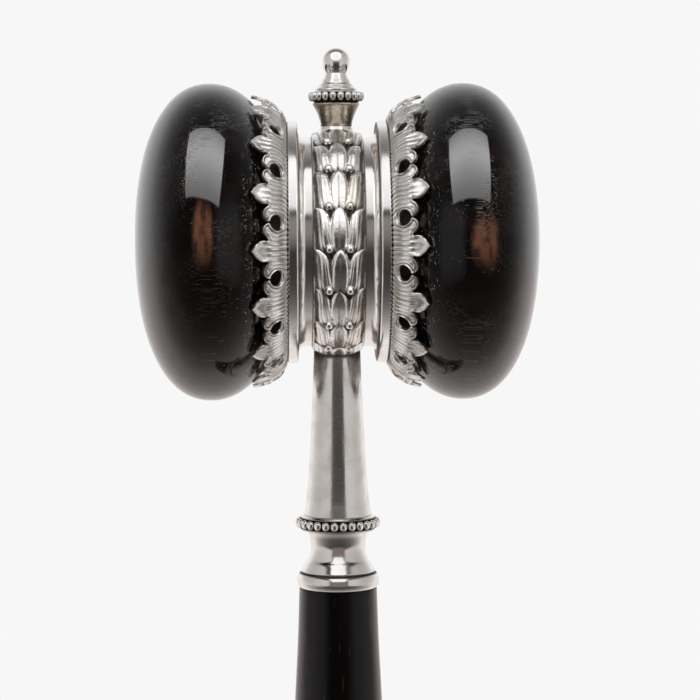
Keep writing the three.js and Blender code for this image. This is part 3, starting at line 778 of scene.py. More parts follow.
# Barrel. A silver tube round the wooden core, with a small cove up to each collar.
sleeve_half = 12.1 * mm
sleeve_radius = 25 * mm
sleeve_bore = 23.5 * mm
collar_width = 2.7 * mm
collar_face = sleeve_half - collar_width
cove_width = 1.8 * mm
cove_height = 1.2 * mm
cove_points, tube_points = 9, 72
barrel_dirt_reach = 0.32 * mm


def laid(points, side):
    """Points turned about Z laid along the striking axis, with their +Z pointing out to that side."""
    x, y, z = points.T
    return np.stack([side * z, y, head_height - side * x], axis=1)


def barrel_profile():
    shares = np.linspace(0, 1, cove_points)
    cove = [[sleeve_radius + cove_height * s**2, collar_face - cove_width * (1 - s)] for s in shares]
    cove += [[sleeve_radius, collar_face], [sleeve_radius, sleeve_half], [sleeve_bore, sleeve_half]]
    heights = np.linspace(-cove[0][1], cove[0][1], tube_points)[1:-1]
    straight = [[sleeve_radius, height] for height in heights]
    return [*[[radius, -height] for radius, height in cove[::-1]], *straight, *cove]


barrel_points, barrel_faces = turned(barrel_profile(), silver_steps)
barrel_joints = [sign * place for sign in (-1, 1) for place in (band_half_width, collar_face)]
plain = silver("plain_silver")
barrel = shaped("barrel_tube", laid(barrel_points, 1), barrel_faces, plain)
shade_hollows(barrel, grime(barrel_points, barrel_joints, barrel_dirt_reach))
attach(barrel, "root")
lit_by(barrel, *silver_lamps)
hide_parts("barrel_sleeve")

# Collars. A half-round silver ring at each end of the barrel, soldered against the leaf crown.
collar_radius = 28.95 * mm
collar_bore = 25.3 * mm
collar_squareness = 4.5
sides = {-1: "left", 1: "right"}
round_half = collar_width / 2
collar_middle = [collar_radius - round_half, sleeve_half - round_half]

collar_round = arc(collar_middle, round_half, round_half, -90, 90, steps=48, squareness=collar_squareness)
collar_profile = [[collar_bore, collar_face], *collar_round, [collar_bore, sleeve_half]]
for side, name in sides.items():
    points, faces = turned(collar_profile, silver_steps)
    collar = shaped(f"collar_{name}", laid(points, side), faces, plain)
    shade_hollows(collar, grime(points, [collar_face, sleeve_half]))
    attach(collar, "root")
    lit_by(collar, *silver_lamps)
    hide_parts(f"{name}_collar")

# Cheeks. Two turned ebony buns, polished like the handle, each with a spigot that plugs into the barrel and
# a blind bore for the dowel screw that holds it to the core.
cheek_radius = 37.85 * mm
cheek_belt = 29.9 * mm
cheek_squareness = 2.28
cheek_end = cad_box[1][0]
spigot_radius = 23.2 * mm
seat_radius = 26.4 * mm
seat_height = 1.9 * mm
neck_radius = 28.4 * mm  # wide enough to fill the foot of the leaf crown's dish
crown_shoulder = 13 * mm
core_half = 8 * mm
dowel_bore = 2.8 * mm
dowel_bore_end = 22.3 * mm


def cheek_profile():
    seat_depth = cheek_belt - crown_shoulder - seat_height
    inner_reach = seat_depth / math.sqrt(1 - (seat_radius / cheek_radius) ** 2)
    outer_reach = cheek_end - cheek_belt
    neck_angle = math.degrees(math.acos(neck_radius / cheek_radius))
    return [
        [0, dowel_bore_end],
        [dowel_bore, dowel_bore_end],
        [dowel_bore, core_half],
        [spigot_radius, core_half],
        [spigot_radius, crown_shoulder],
        [neck_radius, crown_shoulder],
        *arc([0, cheek_belt], cheek_radius, inner_reach, -neck_angle, 0, steps=40),
        *arc([0, cheek_belt], cheek_radius, outer_reach, 0, 90, steps=64, squareness=cheek_squareness)[1:],
    ]


cheek_ebony = ebony("cheek_ebony", 0, specked=True)
for side, name in sides.items():
    points, faces = turned(cheek_profile(), ebony_steps)
    cheek = shaped(f"cheek_{name}", laid(points, side), faces, cheek_ebony)
    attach(cheek, "root")
    lit_by(cheek, boxes[name], boards[name], screens[name])
    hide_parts(f"{name}_cheek")

# Leaf crowns. Each is a dish of cast and chased silver, clamped between collar and cheek. Sixteen acanthus
# leaves stand out over the ebony. Between two leaves the dish is pierced: an eye that opens in a fine slit.
crown_leaves = 16
leaf_angle = 2 * math.pi / crown_leaves
satin_bright = (0.84, 0.828, 0.812, 1)
crown_foot = np.array((29.3, 12.1)) * mm  # radius and distance from the middle of the head
crown_tip = np.array((34.85, 20.3)) * mm
crown_bend_shares = np.array((0.88, 0.265))
crown_thickness = 0.6 * mm
crown_turns = {"left": math.radians(2.2), "right": math.radians(0.3)}
seam = 0.004 * mm
grown_sharp = math.radians(50)
leaf_swell = 0.45 * mm
pattern_spread = 1.08  # of the flat pattern, whose leaves lie a little wider than the dish's foot
dish_steps = 400
outline_step = 0.15 * mm
inner_step = 0.21 * mm
row_spacing = math.sqrt(0.75)  # in steps, of a field of even triangles
rim_rows = (0.12 * mm, 0.26 * mm, 0.42 * mm)
row_clearance, outline_clearance, rim_clearance = 0.93, 0.5, 0.55  # shares of a row's offset and of the step
least_gap = inner_step / 3
cut_inside, cut_precision = 1, 1e-6
same_place = 1e-4 * mm
# Painted shade on the back of the leaf crown and on its flange
painted_back_shade, painted_flange_shade = 0.45, 0.5
# Chasing on a leaf. A start, an end or a reach is where it comes in or goes out, in shares of the leaf's
# length unless it says otherwise.
rim_height, rim_place, rim_width = 0.24 * mm, 0.2 * mm, 0.15 * mm
drop_depth, drop_width = 0.16 * mm, 0.08 * mm  # at the very edge
groove_place = 0.52 * mm  # of the groove inside the rim
vein_dirt_reach = (0.2 * mm, 0.5 * mm)  # from the edge
vein_spacing, vein_height, vein_roundness = 1.15 * mm, 0.2 * mm, 1.3
vein_start, vein_end, vein_loss = (-0.03, 0.03), (0.5, 0.8), 0.85
lobe_ring = 0.85 * mm  # between the ridges that follow a side lobe's edge
side_lobe_start, side_lobe_side = (0.5, 0.62), (0.19, 0.26)  # its side in shares of the leaf's spacing
lobe_hollow, lobe_start, lobe_reach = 0.2 * mm, (0.5, 0.66), (0.2 * mm, 1.3 * mm)  # its reach from the edge
fold_height, fold_width, fold_start = 0.14 * mm, 0.26 * mm, (0.05, 0.3)
crease_depth, crease_width, crease_start = 0.05 * mm, 0.22 * mm, (0.4, 0.65)
curl_height, curl_start = 0.08 * mm, (0.72, 1.0)
foot_end = (0.0, 0.03)
vein_dirt, groove_dirt, crease_dirt, foot_dirt = 0.62, 0.5, 0.2, 0.5
eye_middle_share = 0.37
eye_radius = 1.75 * mm
# Half a leaf's outline: shares of the spacing from the leaf's middle, and of the leaf's length
eye_shares = [
    [0.5, 0.185], [0.448, 0.198], [0.402, 0.235], [0.372, 0.295], [0.363, 0.365],
    [0.37, 0.435], [0.393, 0.498], [0.432, 0.542], [0.468, 0.56], [0.4895, 0.575],
]
side_lobe_shares = [
    [0.4895, 0.575], [0.488, 0.605], [0.478, 0.648], [0.452, 0.695], [0.415, 0.728],
    [0.37, 0.742], [0.32, 0.735], [0.275, 0.708], [0.24, 0.668], [0.222, 0.632],
]
notch_shares = [[0.222, 0.632], [0.212, 0.61], [0.197, 0.602], [0.184, 0.613], [0.178, 0.64]]
main_lobe_shares = [
    [0.178, 0.64], [0.186, 0.69], [0.184, 0.745], [0.165, 0.805],
    [0.13, 0.865], [0.086, 0.92], [0.042, 0.962], [0, 1],
]
notch_vein_shares = [[0.2, 0.605], [0.172, 0.53], [0.165, 0.42], [0.18, 0.26], [0.2, 0.08]]


def lengths(line):
    """How far along a line each of its points lies."""
    return np.concatenate([[0], np.cumsum(np.linalg.norm(np.diff(line, axis=0), axis=1))])


def evenly(line, step):
    """The line's points moved so that they lie about one step apart."""
    line = np.array(line, float)
    along = lengths(line)
    places = np.linspace(0, along[-1], max(2, round(along[-1] / step) + 1))
    return np.stack([np.interp(places, along, line[:, k]) for k in (0, 1)], axis=1)


def nearest(points, line):
    """Each point's distance from an open line."""
    starts, ends = line[:-1], line[1:]
    run = ends - starts
    offsets = points[:, None, :] - starts[None, :, :]
    share = np.clip((offsets * run).sum(2) / (run * run).sum(1), 0, 1)
    return np.linalg.norm(offsets - share[:, :, None] * run, axis=2).min(1)


def wave(turns):
    """1 at each whole turn and 0 half way between."""
    return 0.5 + 0.5 * np.cos(2 * math.pi * turns)


class Leaf:
    """One leaf of a crown on its flat pattern: across and along, in metres, unrolled from the dish."""

    def __init__(self):
        shares = np.linspace(0, 1, dish_steps)[:, None]
        bend = crown_foot + (crown_tip - crown_foot) * crown_bend_shares
        self.line = (1 - shares) ** 2 * crown_foot + 2 * shares * (1 - shares) * bend + shares**2 * crown_tip
        self.along = lengths(self.line)
        self.length = self.along[-1]
        self.spacing = leaf_angle * crown_foot[0] * pattern_spread
        self.size = np.array((self.spacing, self.length))
        parts = [eye_shares, side_lobe_shares, notch_shares, main_lobe_shares]
        lines = [evenly(np.array(smooth_line(part, steps=8)) * self.size, outline_step) for part in parts]
        half = np.concatenate([line[:-1] for line in lines] + [lines[-1][-1:]])
        self.edge = np.concatenate([half, (half * (-1, 1))[::-1][1:]])
        rise = np.linspace(0, half[0][1], round(half[0][1] / inner_step) + 1)[:-1]
        foot = np.linspace(-self.spacing / 2, self.spacing / 2, round(self.spacing / inner_step) + 1)[1:-1]
        right_side = np.stack([np.full(len(rise), self.spacing / 2), rise], axis=1)
        foot_line = np.stack([foot, np.zeros(len(foot))], axis=1)
        self.outline = np.concatenate([right_side, self.edge, (right_side * (-1, 1))[::-1], foot_line])

    def inside(self, points):
        """Which points lie inside the outline."""
        found = np.zeros(len(points), bool)
        for start, end in zip(self.outline, np.roll(self.outline, -1, axis=0)):
            spans = (start[1] > points[:, 1]) != (end[1] > points[:, 1])
            with np.errstate(divide="ignore", invalid="ignore"):
                crossing = start[0] + (points[:, 1] - start[1]) * (end[0] - start[0]) / (end[1] - start[1])
            found ^= spans & (points[:, 0] < crossing)
        return found

    def inner_points(self):
        """Rows that follow the rim, and an even field of points over the rest."""
        run = np.gradient(self.edge, axis=0)
        inwards = np.stack([-run[:, 1], run[:, 0]], axis=1)
        inwards /= np.linalg.norm(inwards, axis=1)[:, None]
        rows = []
        for k, offset in enumerate(rim_rows):
            row = (self.edge + inwards * offset)[:: 1 + k // 2]
            rows.append(row[nearest(row, self.edge) > offset * row_clearance])
        across = np.arange(-self.spacing / 2, self.spacing / 2, inner_step)
        up = np.arange(0, self.length, inner_step * row_spacing)
        field = np.array([(x + (j % 2) * inner_step / 2, y) for j, y in enumerate(up) for x in across])
        closed = np.concatenate([self.outline, self.outline[:1]])
        field = field[nearest(field, closed) > inner_step * outline_clearance]
        field = field[nearest(field, self.edge) > rim_rows[-1] + inner_step * rim_clearance]
        points = np.concatenate([*rows, field])
        kept = {}
        for point in points[self.inside(points)]:
            kept.setdefault(tuple(np.floor(point / least_gap).astype(int)), point)
        return np.array(list(kept.values()))

    def relief(self, points):
        """Height above the dish, and how hollow the surface is there from 0 to 1."""
        across, up = points.T
        across_share, up_share = np.abs(across) / self.spacing, up / self.length
        edge = nearest(points, self.edge)
        rim = ridge(edge - rim_place, rim_width)
        gap_across, gap_up = self.spacing / 2 - np.abs(across), up - eye_middle_share * self.length
        flow = gap_across * (1 - eye_radius**2 / np.maximum(gap_across**2 + gap_up**2, eye_radius**2))
        in_side_lobe = smooth_step(across_share, *side_lobe_side) * smooth_step(up_share, *side_lobe_start)
        crest = wave((flow - self.spacing / 2) / vein_spacing) * (1 - in_side_lobe)
        crest += wave((edge - rim_place) / lobe_ring) * in_side_lobe
        fade = 1 - vein_loss * smooth_step(up_share, *vein_end) * (1 - in_side_lobe)
        veins = crest**vein_roundness * fade * smooth_step(up_share, *vein_start)
        folded = np.stack([np.abs(across), up], axis=1)
        notch_line = np.array(smooth_line(notch_vein_shares, steps=6)) * self.size
        fold = ridge(nearest(folded, notch_line), fold_width) * smooth_step(up_share, *fold_start)
        lobes = smooth_step(up_share, *lobe_start) * smooth_step(edge, *lobe_reach)
        crease = ridge(across, crease_width) * smooth_step(up_share, *crease_start)
        height = rim_height * rim - drop_depth * ridge(edge, drop_width)
        height += vein_height * veins + fold_height * fold - lobe_hollow * lobes - crease_depth * crease
        height += curl_height * smooth_step(up_share, *curl_start) ** 2
        oxide_and_shade = vein_dirt * (1 - crest) ** 3 * fade * smooth_step(edge, *vein_dirt_reach)
        oxide_and_shade += groove_dirt * ridge(edge - groove_place, rim_width) * (1 - rim)
        oxide_and_shade += crease_dirt * crease * lobes
        return height, np.clip(oxide_and_shade + foot_dirt * (1 - smooth_step(up_share, *foot_end)), 0, 1)

    def dish(self, up):
        """Radius and distance from the middle of the head, this far up the dish."""
        up = np.clip(up, 0, self.length)
        return np.array([np.interp(up, self.along, self.line[:, k]) for k in (0, 1)])

    def on_dish(self, points, lift):
        """Places points of the pattern on the dish, lifted off it, round the axis X through the origin."""
        up = np.clip(points[:, 1], 0, self.length)
        share = points[:, 0] / self.spacing
        run = self.dish(up + outline_step) - self.dish(up - outline_step)
        run /= np.linalg.norm(run, axis=0)
        radius, reach = self.dish(up)
        out_share = smooth_step(reach - crown_shoulder, 0, (crown_tip[1] - crown_foot[1]) / 2)
        radius += run[1] * lift - leaf_swell * (1 - wave(share)) * out_share
        reach -= run[0] * lift
        angle = share * leaf_angle
        return np.stack([reach, -radius * np.cos(angle), radius * np.sin(angle)], axis=1)

    def mesh(self, side):
        """The leaf as a solid cast piece with its share of the flange, for one side of the head."""
        pattern = np.concatenate([self.outline, self.inner_points()])
        count = len(self.outline)
        loop = [(k, (k + 1) % count) for k in range(count)]
        cut = delaunay_2d_cdt([Vector(p) for p in pattern / mm], loop, [], cut_inside, cut_precision)
        pattern = np.array([tuple(p) for p in cut[0]]) * mm
        total = len(pattern)
        faces = [list(face) for face in cut[2]]
        borders = dict.fromkeys(pair for face in faces for pair in zip(face, face[1:] + face[:1]))
        faces += [[k + total for k in face[::-1]] for face in faces]
        height, oxide_and_shade = self.relief(pattern)
        at_side = np.abs(np.abs(pattern[:, 0]) - self.spacing / 2) < same_place
        at_foot = pattern[:, 1] < same_place
        foot = np.flatnonzero(at_foot)
        place = {index: 2 * total + k for k, index in enumerate(foot)}
        angle = pattern[foot, 0] / self.spacing * leaf_angle
        ring = sleeve_bore * np.stack([0 * angle, -np.cos(angle), np.sin(angle)], axis=1)
        flange = [ring + (reach, 0, 0) for reach in (crown_foot[1], crown_shoulder)]
        for start, end in borders:
            if (end, start) in borders:
                continue
            if at_foot[start] and at_foot[end]:
                near = (place[start], place[end])
                far = (near[0] + len(foot), near[1] + len(foot))
                faces.append([end, start, near[0], near[1]])
                faces.append([start + total, end + total, far[1], far[0]])
                faces.append([near[1], near[0], far[0], far[1]])
            elif not (at_side[start] and at_side[end]):
                faces.append([end, start, start + total, end + total])
        back = self.on_dish(pattern, -crown_thickness)
        points = np.concatenate([self.on_dish(pattern, height), back, *flange]) * (side, 1, 1)
        # The back and the flange get painted shade
        shades = [oxide_and_shade, np.full(total, painted_back_shade), np.full(2 * len(foot), painted_flange_shade)]
        return points, faces if side > 0 else [face[::-1] for face in faces], np.concatenate(shades)


def open_tree(name, inputs):
    """A Geometry Nodes tree with named inputs, between a geometry and its finish, and what they give."""
    tree = bpy.data.node_groups.new(name, "GeometryNodeTree")
    for label, kind in {"Geometry": "Geometry", **inputs, "Finish": "Material"}.items():
        tree.interface.new_socket(label, in_out="INPUT", socket_type=f"NodeSocket{kind}")
    tree.interface.new_socket("Geometry", in_out="OUTPUT", socket_type="NodeSocketGeometry")
    return tree, tree.nodes.new("NodeGroupInput").outputs


def close_tree(tree, geometry, finish):
    finished = output_of(tree, "GeometryNodeSetMaterial", {"Geometry": geometry, "Material": finish})
    put(tree, "NodeGroupOutput", {"Geometry": finished})
    return tree


def copied(tree, count, place, wires):
    """Copies of an instance, made real."""
    points = output_of(tree, "GeometryNodePoints", {"Count": count, "Position": place})
    copies = output_of(tree, "GeometryNodeInstanceOnPoints", {"Points": points, **wires})
    return output_of(tree, "GeometryNodeRealizeInstances", {"Geometry": copies})


def axis_copies(name):
    """A tree that sets copies of a mesh round an axis through a centre."""
    inputs = {"Copies": "Int", "Axis": "Vector", "First Turn": "Float", "Centre": "Vector", "Seam": "Float"}
    tree, given = open_tree(name, inputs)
    index = output_of(tree, "GeometryNodeInputIndex", {})
    turn = multiply(tree, index, calculate(tree, "DIVIDE", 2 * math.pi, given["Copies"]))
    turn = add(tree, turn, given["First Turn"])
    rotation = output_of(tree, "FunctionNodeAxisAngleToRotation", {"Axis": given["Axis"], "Angle": turn})
    wires = {"Instance": given["Geometry"], "Rotation": rotation}
    whole = copied(tree, given["Copies"], given["Centre"], wires)
    closed = output_of(tree, "GeometryNodeMergeByDistance", {"Geometry": whole, "Distance": given["Seam"]})
    return close_tree(tree, closed, given["Finish"])


def grown(made, tree, **values):
    """Runs a tree on an object with its named inputs, and keeps the result as the object's plain mesh."""
    modifier = made.modifiers.new(tree.name, "NODES")
    modifier.node_group = tree
    for item in tree.interface.items_tree:
        label = item.name.lower().replace(" ", "_")
        if item.item_type == "SOCKET" and item.in_out == "INPUT" and label in values:
            modifier[item.identifier] = values[label]
    result = made.evaluated_get(bpy.context.evaluated_depsgraph_get())
    mesh = bpy.data.meshes.new_from_object(result)
    made.modifiers.clear()
    made.data = mesh
    mesh.name = made.name
    mesh.set_sharp_from_angle(angle=grown_sharp)
    return made


satin = silver("satin_silver", tarnish=0.4, roughness=0.24, bright=satin_bright, chased=0.35)
round_axis = axis_copies("copies_round_an_axis")
leaf = Leaf()
for side, name in sides.items():
    points, faces, oxide_and_shade = leaf.mesh(side)
    crown = shaped(f"leaf_crown_{name}", points, faces, satin)
    shade_hollows(crown, oxide_and_shade)
    first_turn = crown_turns[name]
    setting = {"copies": crown_leaves, "axis": (1, 0, 0), "first_turn": first_turn, "centre": head_middle}
    grown(crown, round_axis, **setting, seam=seam, finish=satin)
    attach(crown, "root")
    lit_by(crown, *silver_lamps)
    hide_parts(f"{name}_leaf_crown")

# Laurel band. A convex silver ring shrunk round the barrel and chased by hand with overlapping rows of three
# laurel leaves, which climb both faces from the socket to the finial. Berries sit between the leaf tips.
rows_per_side = 8
row_angle = math.radians(20.8)
first_tip_angle = math.radians(-81.1)  # of the top row's tips, down from the horizontal
laurel_ground, laurel_height = 0.1 * mm, 0.9 * mm
hand_error = 0.11 * mm
berry_radius, berry_detail = 1.05 * mm, 3
berry_offset = 2.42 * mm
berry_lift = 0.35 * mm
band_columns, band_rows = 84, 1056
foot_ring_clear, socket_clear, stem_fade = 4.15 * mm, 5.9 * mm, 0.4 * mm
# Chasing on a leaf. A start, an end or a fade is where it comes in or goes out, in shares of the step
# between rows down from the leaf's tip, and its dirt is how hollow it counts.
edge_width, edge_roundness = 0.3 * mm, 1.3
leaf_belly = 0.2
root_share, root_start = 0.4, (0.35, 1.1)
tip_share, tip_end = 0.6, (0, 0.5)
laurel_rim, laurel_rim_place, laurel_rim_width = 0.1 * mm, 0.17 * mm, 0.11 * mm
laurel_rim_loss, laurel_rim_fade = 0.5, (0.2, 0.6)
within_reach = (0.17 * mm, 0.51 * mm)  # from the edge
laurel_vein, fine_vein = 0.075 * mm, 0.0225 * mm
fine_vein_turn = 1.3 / (2 * math.pi)
laurel_vein_start = (0.02, 0.25)
beside_rim_place, beside_rim_width = 0.408 * mm, 0.12 * mm
laurel_vein_dirt, fine_vein_dirt, beside_rim_dirt = 0.42, 0.14, 0.25
root_dirt, root_dirt_start = 0.8, (0.85, 1.15)
rows_overlap = 1.4
# Painted shadow beside a leaf, on what it lies over, and the height over which it fades
painted_leaf_shadow, shadow_height = 0.7, 0.14 * mm  # beside a leaf, on what it lies over
# Over the whole band: the ground between the leaves, its rims and the sides of the band
ground_dirt, rim_wear, rim_wear_shares = 0.8, 0.35, (0.9, 0.97)
shoulder_loss, shoulder_shares = 0.7, (0.6, 1)
pole_dirt, pole_start = 0.1, (0.84, 0.93)
border_width, band_inside_hollow = 0.25 * mm, 0.5
# Outlines of a leaf: shares of the band's half width, and of the step between rows, down from the tips
middle_leaf_shares = [
    [0, 0], [0.08, 0.03], [0.19, 0.09], [0.28, 0.18], [0.34, 0.3],
    [0.375, 0.45], [0.375, 0.62], [0.345, 0.82], [0.29, 1], [0.22, 1.24],
]
side_leaf_inner_shares = [
    [0.93, 0], [0.81, 0.012], [0.69, 0.04], [0.57, 0.085], [0.475, 0.15], [0.41, 0.24],
    [0.365, 0.36], [0.33, 0.52], [0.28, 0.8], [0.2, 1], [0.1, 1.24],
]
side_leaf_outer_shares = [
    [0.93, 0], [0.972, 0.08], [0.985, 0.22], [0.975, 0.42],
    [0.95, 0.62], [0.9, 0.82], [0.82, 1], [0.68, 1.24],
]


def laurel_leaf(across, down, inner_shares, outer_shares, veins):
    """Height of one leaf over the band and how hollow its chasing is, at places across the band and down
    from the leaf's tip."""
    size = (band_half_width, row_angle * band_radius)
    inner, outer = [np.array(smooth_line(shares, steps=6)) * size for shares in (inner_shares, outer_shares)]
    inner_side, outer_side = [np.interp(down, line[:, 1], line[:, 0]) for line in (inner, outer)]
    inside = (down > 0) & (down < inner[-1][1]) & (across > inner_side) & (across < outer_side)
    edge = np.zeros(across.shape)
    outline = np.concatenate([inner[::-1], outer[1:]])
    edge[inside] = nearest(np.stack([across[inside], down[inside]], axis=1), outline)
    place = (across - inner_side) / np.maximum(outer_side - inner_side, no_length)
    share = down / size[1]
    swell = 1 - np.exp(-((edge / edge_width) ** edge_roundness))
    bulge = 1 - leaf_belly + leaf_belly * np.sqrt(np.clip(1 - (2 * place - 1) ** 2, 0, 1))
    lift = 1 - (1 - root_share) * smooth_step(share, *root_start)
    lift *= tip_share + (1 - tip_share) * smooth_step(share, *tip_end)
    rim = ridge(edge - laurel_rim_place, laurel_rim_width)
    rim *= 1 - laurel_rim_loss * smooth_step(share, *laurel_rim_fade)
    within = smooth_step(edge, *within_reach)
    chased = within * smooth_step(share, *laurel_vein_start)
    groove, fine_groove = wave(veins * place), wave(2 * veins * place + fine_vein_turn)
    height = laurel_height * lift * swell * bulge + laurel_rim * rim
    height -= chased * (laurel_vein * groove + fine_vein * fine_groove)
    oxide_and_shade = chased * (laurel_vein_dirt * groove**3 + fine_vein_dirt * fine_groove)
    oxide_and_shade += beside_rim_dirt * ridge(edge - beside_rim_place, beside_rim_width) * within
    return np.where(inside, height, 0), oxide_and_shade + root_dirt * smooth_step(share, *root_dirt_start)


def laurel_relief(across, angle):
    """Height and darkness all over the band: oxide in the hollows and painted shadow beside the leaves. The
    back is the front turned round the stem.
    """
    chaser = np.random.default_rng(11)
    face = np.where(np.cos(angle) >= 0, 1, -1)
    slope = np.arcsin(np.sin(angle))
    aside_share = np.abs(across) / band_half_width
    height = np.full_like(across, laurel_ground)
    oxide_and_shade = ground_dirt - rim_wear * smooth_step(aside_share, *rim_wear_shares)
    side_leaf = (side_leaf_inner_shares, side_leaf_outer_shares, 3)
    middle_leaf = ([[-x, y] for x, y in middle_leaf_shares], middle_leaf_shares, 2)
    for row in range(rows_per_side):
        for side, outline in ((-1, side_leaf), (1, side_leaf), (1, middle_leaf)):
            aside, above = chaser.normal(0, hand_error, 2)
            down = (slope - first_tip_angle - row * row_angle) * band_radius + above
            sideways = across * side * face + aside
            near = (down > -mm) & (down < rows_overlap * row_angle * band_radius)
            rise, dark = laurel_leaf(sideways[near], down[near], *outline)
            # Painted shadow on what lies beside a higher leaf
            shadow = painted_leaf_shadow * (1 - smooth_step(rise, laurel_ground, laurel_ground + shadow_height))
            oxide_and_shade[near] = np.where(rise > height[near], np.clip(dark + shadow, 0, 1), oxide_and_shade[near])
            height[near] = np.maximum(height[near], rise)
    from_stem = np.hypot(across, band_radius * np.cos(angle))
    clear = np.where(np.sin(angle) > 0, socket_clear, foot_ring_clear)
    at_stem = smooth_step(from_stem, clear, clear + stem_fade)
    shoulder = 1 - shoulder_loss * smooth_step(aside_share, *shoulder_shares)
    oxide_and_shade = np.clip(oxide_and_shade + pole_dirt * smooth_step(np.abs(np.sin(angle)), *pole_start), 0, 1)
    return height * at_stem * shoulder, oxide_and_shade * at_stem


def band_mesh():
    columns = np.linspace(-band_half_width, band_half_width, band_columns + 1)
    rows = np.arange(band_rows) * 2 * math.pi / band_rows
    across, angle = np.meshgrid(columns, rows)
    height, oxide_and_shade = laurel_relief(across, angle)
    border = smooth_step(band_half_width - np.abs(across), 0, border_width)
    radius = band_surface(across) + height * border
    outer = np.stack([across, -radius * np.cos(angle), head_height - radius * np.sin(angle)], axis=2)
    ring = collar_bore * np.stack([0 * rows, -np.cos(rows), -np.sin(rows)], axis=1)
    ends = [ring + (column, 0, head_height) for column in (-band_half_width, band_half_width)]
    width = band_columns + 1
    inner = band_rows * width
    faces = []
    for k in range(band_rows):
        after = (k + 1) % band_rows
        for j in range(band_columns):
            faces.append([k * width + j, k * width + j + 1, after * width + j + 1, after * width + j])
        left, right = (inner + k, inner + after), (inner + band_rows + k, inner + band_rows + after)
        faces.append([k * width, after * width, left[1], left[0]])
        faces.append([after * width + band_columns, k * width + band_columns, right[0], right[1]])
        faces.append([left[0], left[1], right[1], right[0]])
    shades = [oxide_and_shade.ravel() * border.ravel(), np.full(2 * band_rows, band_inside_hollow)]
    return np.concatenate([outer.reshape(-1, 3), *ends]), faces, np.concatenate(shades)


def berried_ring():
    """A tree that adds two berries between the leaf tips of each row, on both faces, to a ring."""
    floats = ("First Angle", "Row Angle", "Offset", "Reach", "Berry Radius")
    inputs = {"Rows": "Int", **dict.fromkeys(floats, "Float"), "Centre": "Vector"}
    tree, given = open_tree("berried_ring", inputs)
    index = output_of(tree, "GeometryNodeInputIndex", {})

    def part(share):
        """The whole part of a share of the index."""
        return calculate(tree, "FLOOR", multiply(tree, index, share))

    def sign(number):
        """1 for an even number and -1 for an odd one."""
        return add(tree, multiply(tree, calculate(tree, "MODULO", number, 2), -2), 1)

    angle = add(tree, multiply(tree, part(1 / 4), given["Row Angle"]), given["First Angle"])
    forward = multiply(tree, calculate(tree, "COSINE", angle), given["Reach"])
    wires = {
        "X": multiply(tree, sign(index), given["Offset"]),
        "Y": multiply(tree, multiply(tree, forward, sign(part(1 / 2))), -1),
        "Z": multiply(tree, multiply(tree, calculate(tree, "SINE", angle), given["Reach"]), -1),
    }
    place = vector(tree, "ADD", output_of(tree, "ShaderNodeCombineXYZ", wires), given["Centre"])
    wires = {"Radius": given["Berry Radius"], "Subdivisions": berry_detail}
    berry = output_of(tree, "GeometryNodeMeshIcoSphere", wires)
    berry = output_of(tree, "GeometryNodeSetShadeSmooth", {"Geometry": berry})
    berries = copied(tree, multiply(tree, given["Rows"], 4), place, {"Instance": berry})
    joined = put(tree, "GeometryNodeJoinGeometry", {})
    for geometry in (berries, given["Geometry"]):
        tree.links.new(geometry, joined.inputs[0])
    return close_tree(tree, joined.outputs[0], given["Finish"])


chased = silver("chased_silver", tarnish=0.75, roughness=0.16, chased=0.85)
points, faces, oxide_and_shade = band_mesh()
band = shaped("laurel_ring", points, faces, chased, sharp=60)
shade_hollows(band, oxide_and_shade)
grown(
    band,
    berried_ring(),
    rows=rows_per_side - 1,
    first_angle=first_tip_angle + row_angle,
    row_angle=row_angle,
    offset=berry_offset,
    reach=band_radius + berry_lift,
    berry_radius=berry_radius,
    centre=head_middle,
    finish=chased,
)
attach(band, "root")
lit_by(band, *silver_lamps, band_gleam)
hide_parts("laurel_band")

# Bead rings. Cast rings with a row of oval beads round the edge, one between the ferrule and the socket and
# one under the finial's dome. Oxide fills the gaps between the beads. Oxide and painted shade darken the
# ring under the beads, and painted shade darkens each bead's lower half.
bead_depth = 1.7 * mm
bead_height = 2.2 * mm
bead_fullness = 0.12  # above its middle
bead_width_share = 0.93  # of a bead's share of the ring
bush_bore = 3.2 * mm
bead_sectors = 8
upper_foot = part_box("finial_vase")[1].z
lower_ring = {
    "bore": silver_bore, "radius": 9.15 * mm, "foot": waist_top, "height": 3.7 * mm,
    "beads": 28, "underside_oxide_and_shade": 0.5,
}
upper_ring = {
    "bore": bush_bore, "radius": 5.65 * mm, "foot": upper_foot, "height": 2.9 * mm,
    "beads": 20, "underside_oxide_and_shade": 1.0,
}
bead_rings = {
    "socket_bead_ring": ("socket_beads", lower_ring),
    "finial_bead_ring": ("finial_beads", upper_ring),
}
# The ring's outline: shares of a bead's depth in from the ring's radius, and of the ring's height
lip_shares = [[1 / 3, 0], [0, 1 / 8], [1 / 8, 1 / 4], [1 / 8, 3 / 4], [1 / 16, 0.84], [1 / 3, 1]]
bead_outset = 1 / 6  # of the beads' middles from the ring's radius, in shares of their depth
# Oxide, and painted shade under the beads and on each bead's lower half: where it starts and ends, in shares
# of a bead's depth or height or of the ring's height
shelf_place, shelf_reach, shelf_levels = 1 / 4, 1 / 8, (0.3, 0.45)
underside_levels = (0.12, 0.3)
bead_back_dirt, bead_back_reach = 0.9, 0.3
# Painted shade on each bead's lower half
painted_bead_shade, painted_bead_shade_levels = 0.6, (0.12, 0.42)


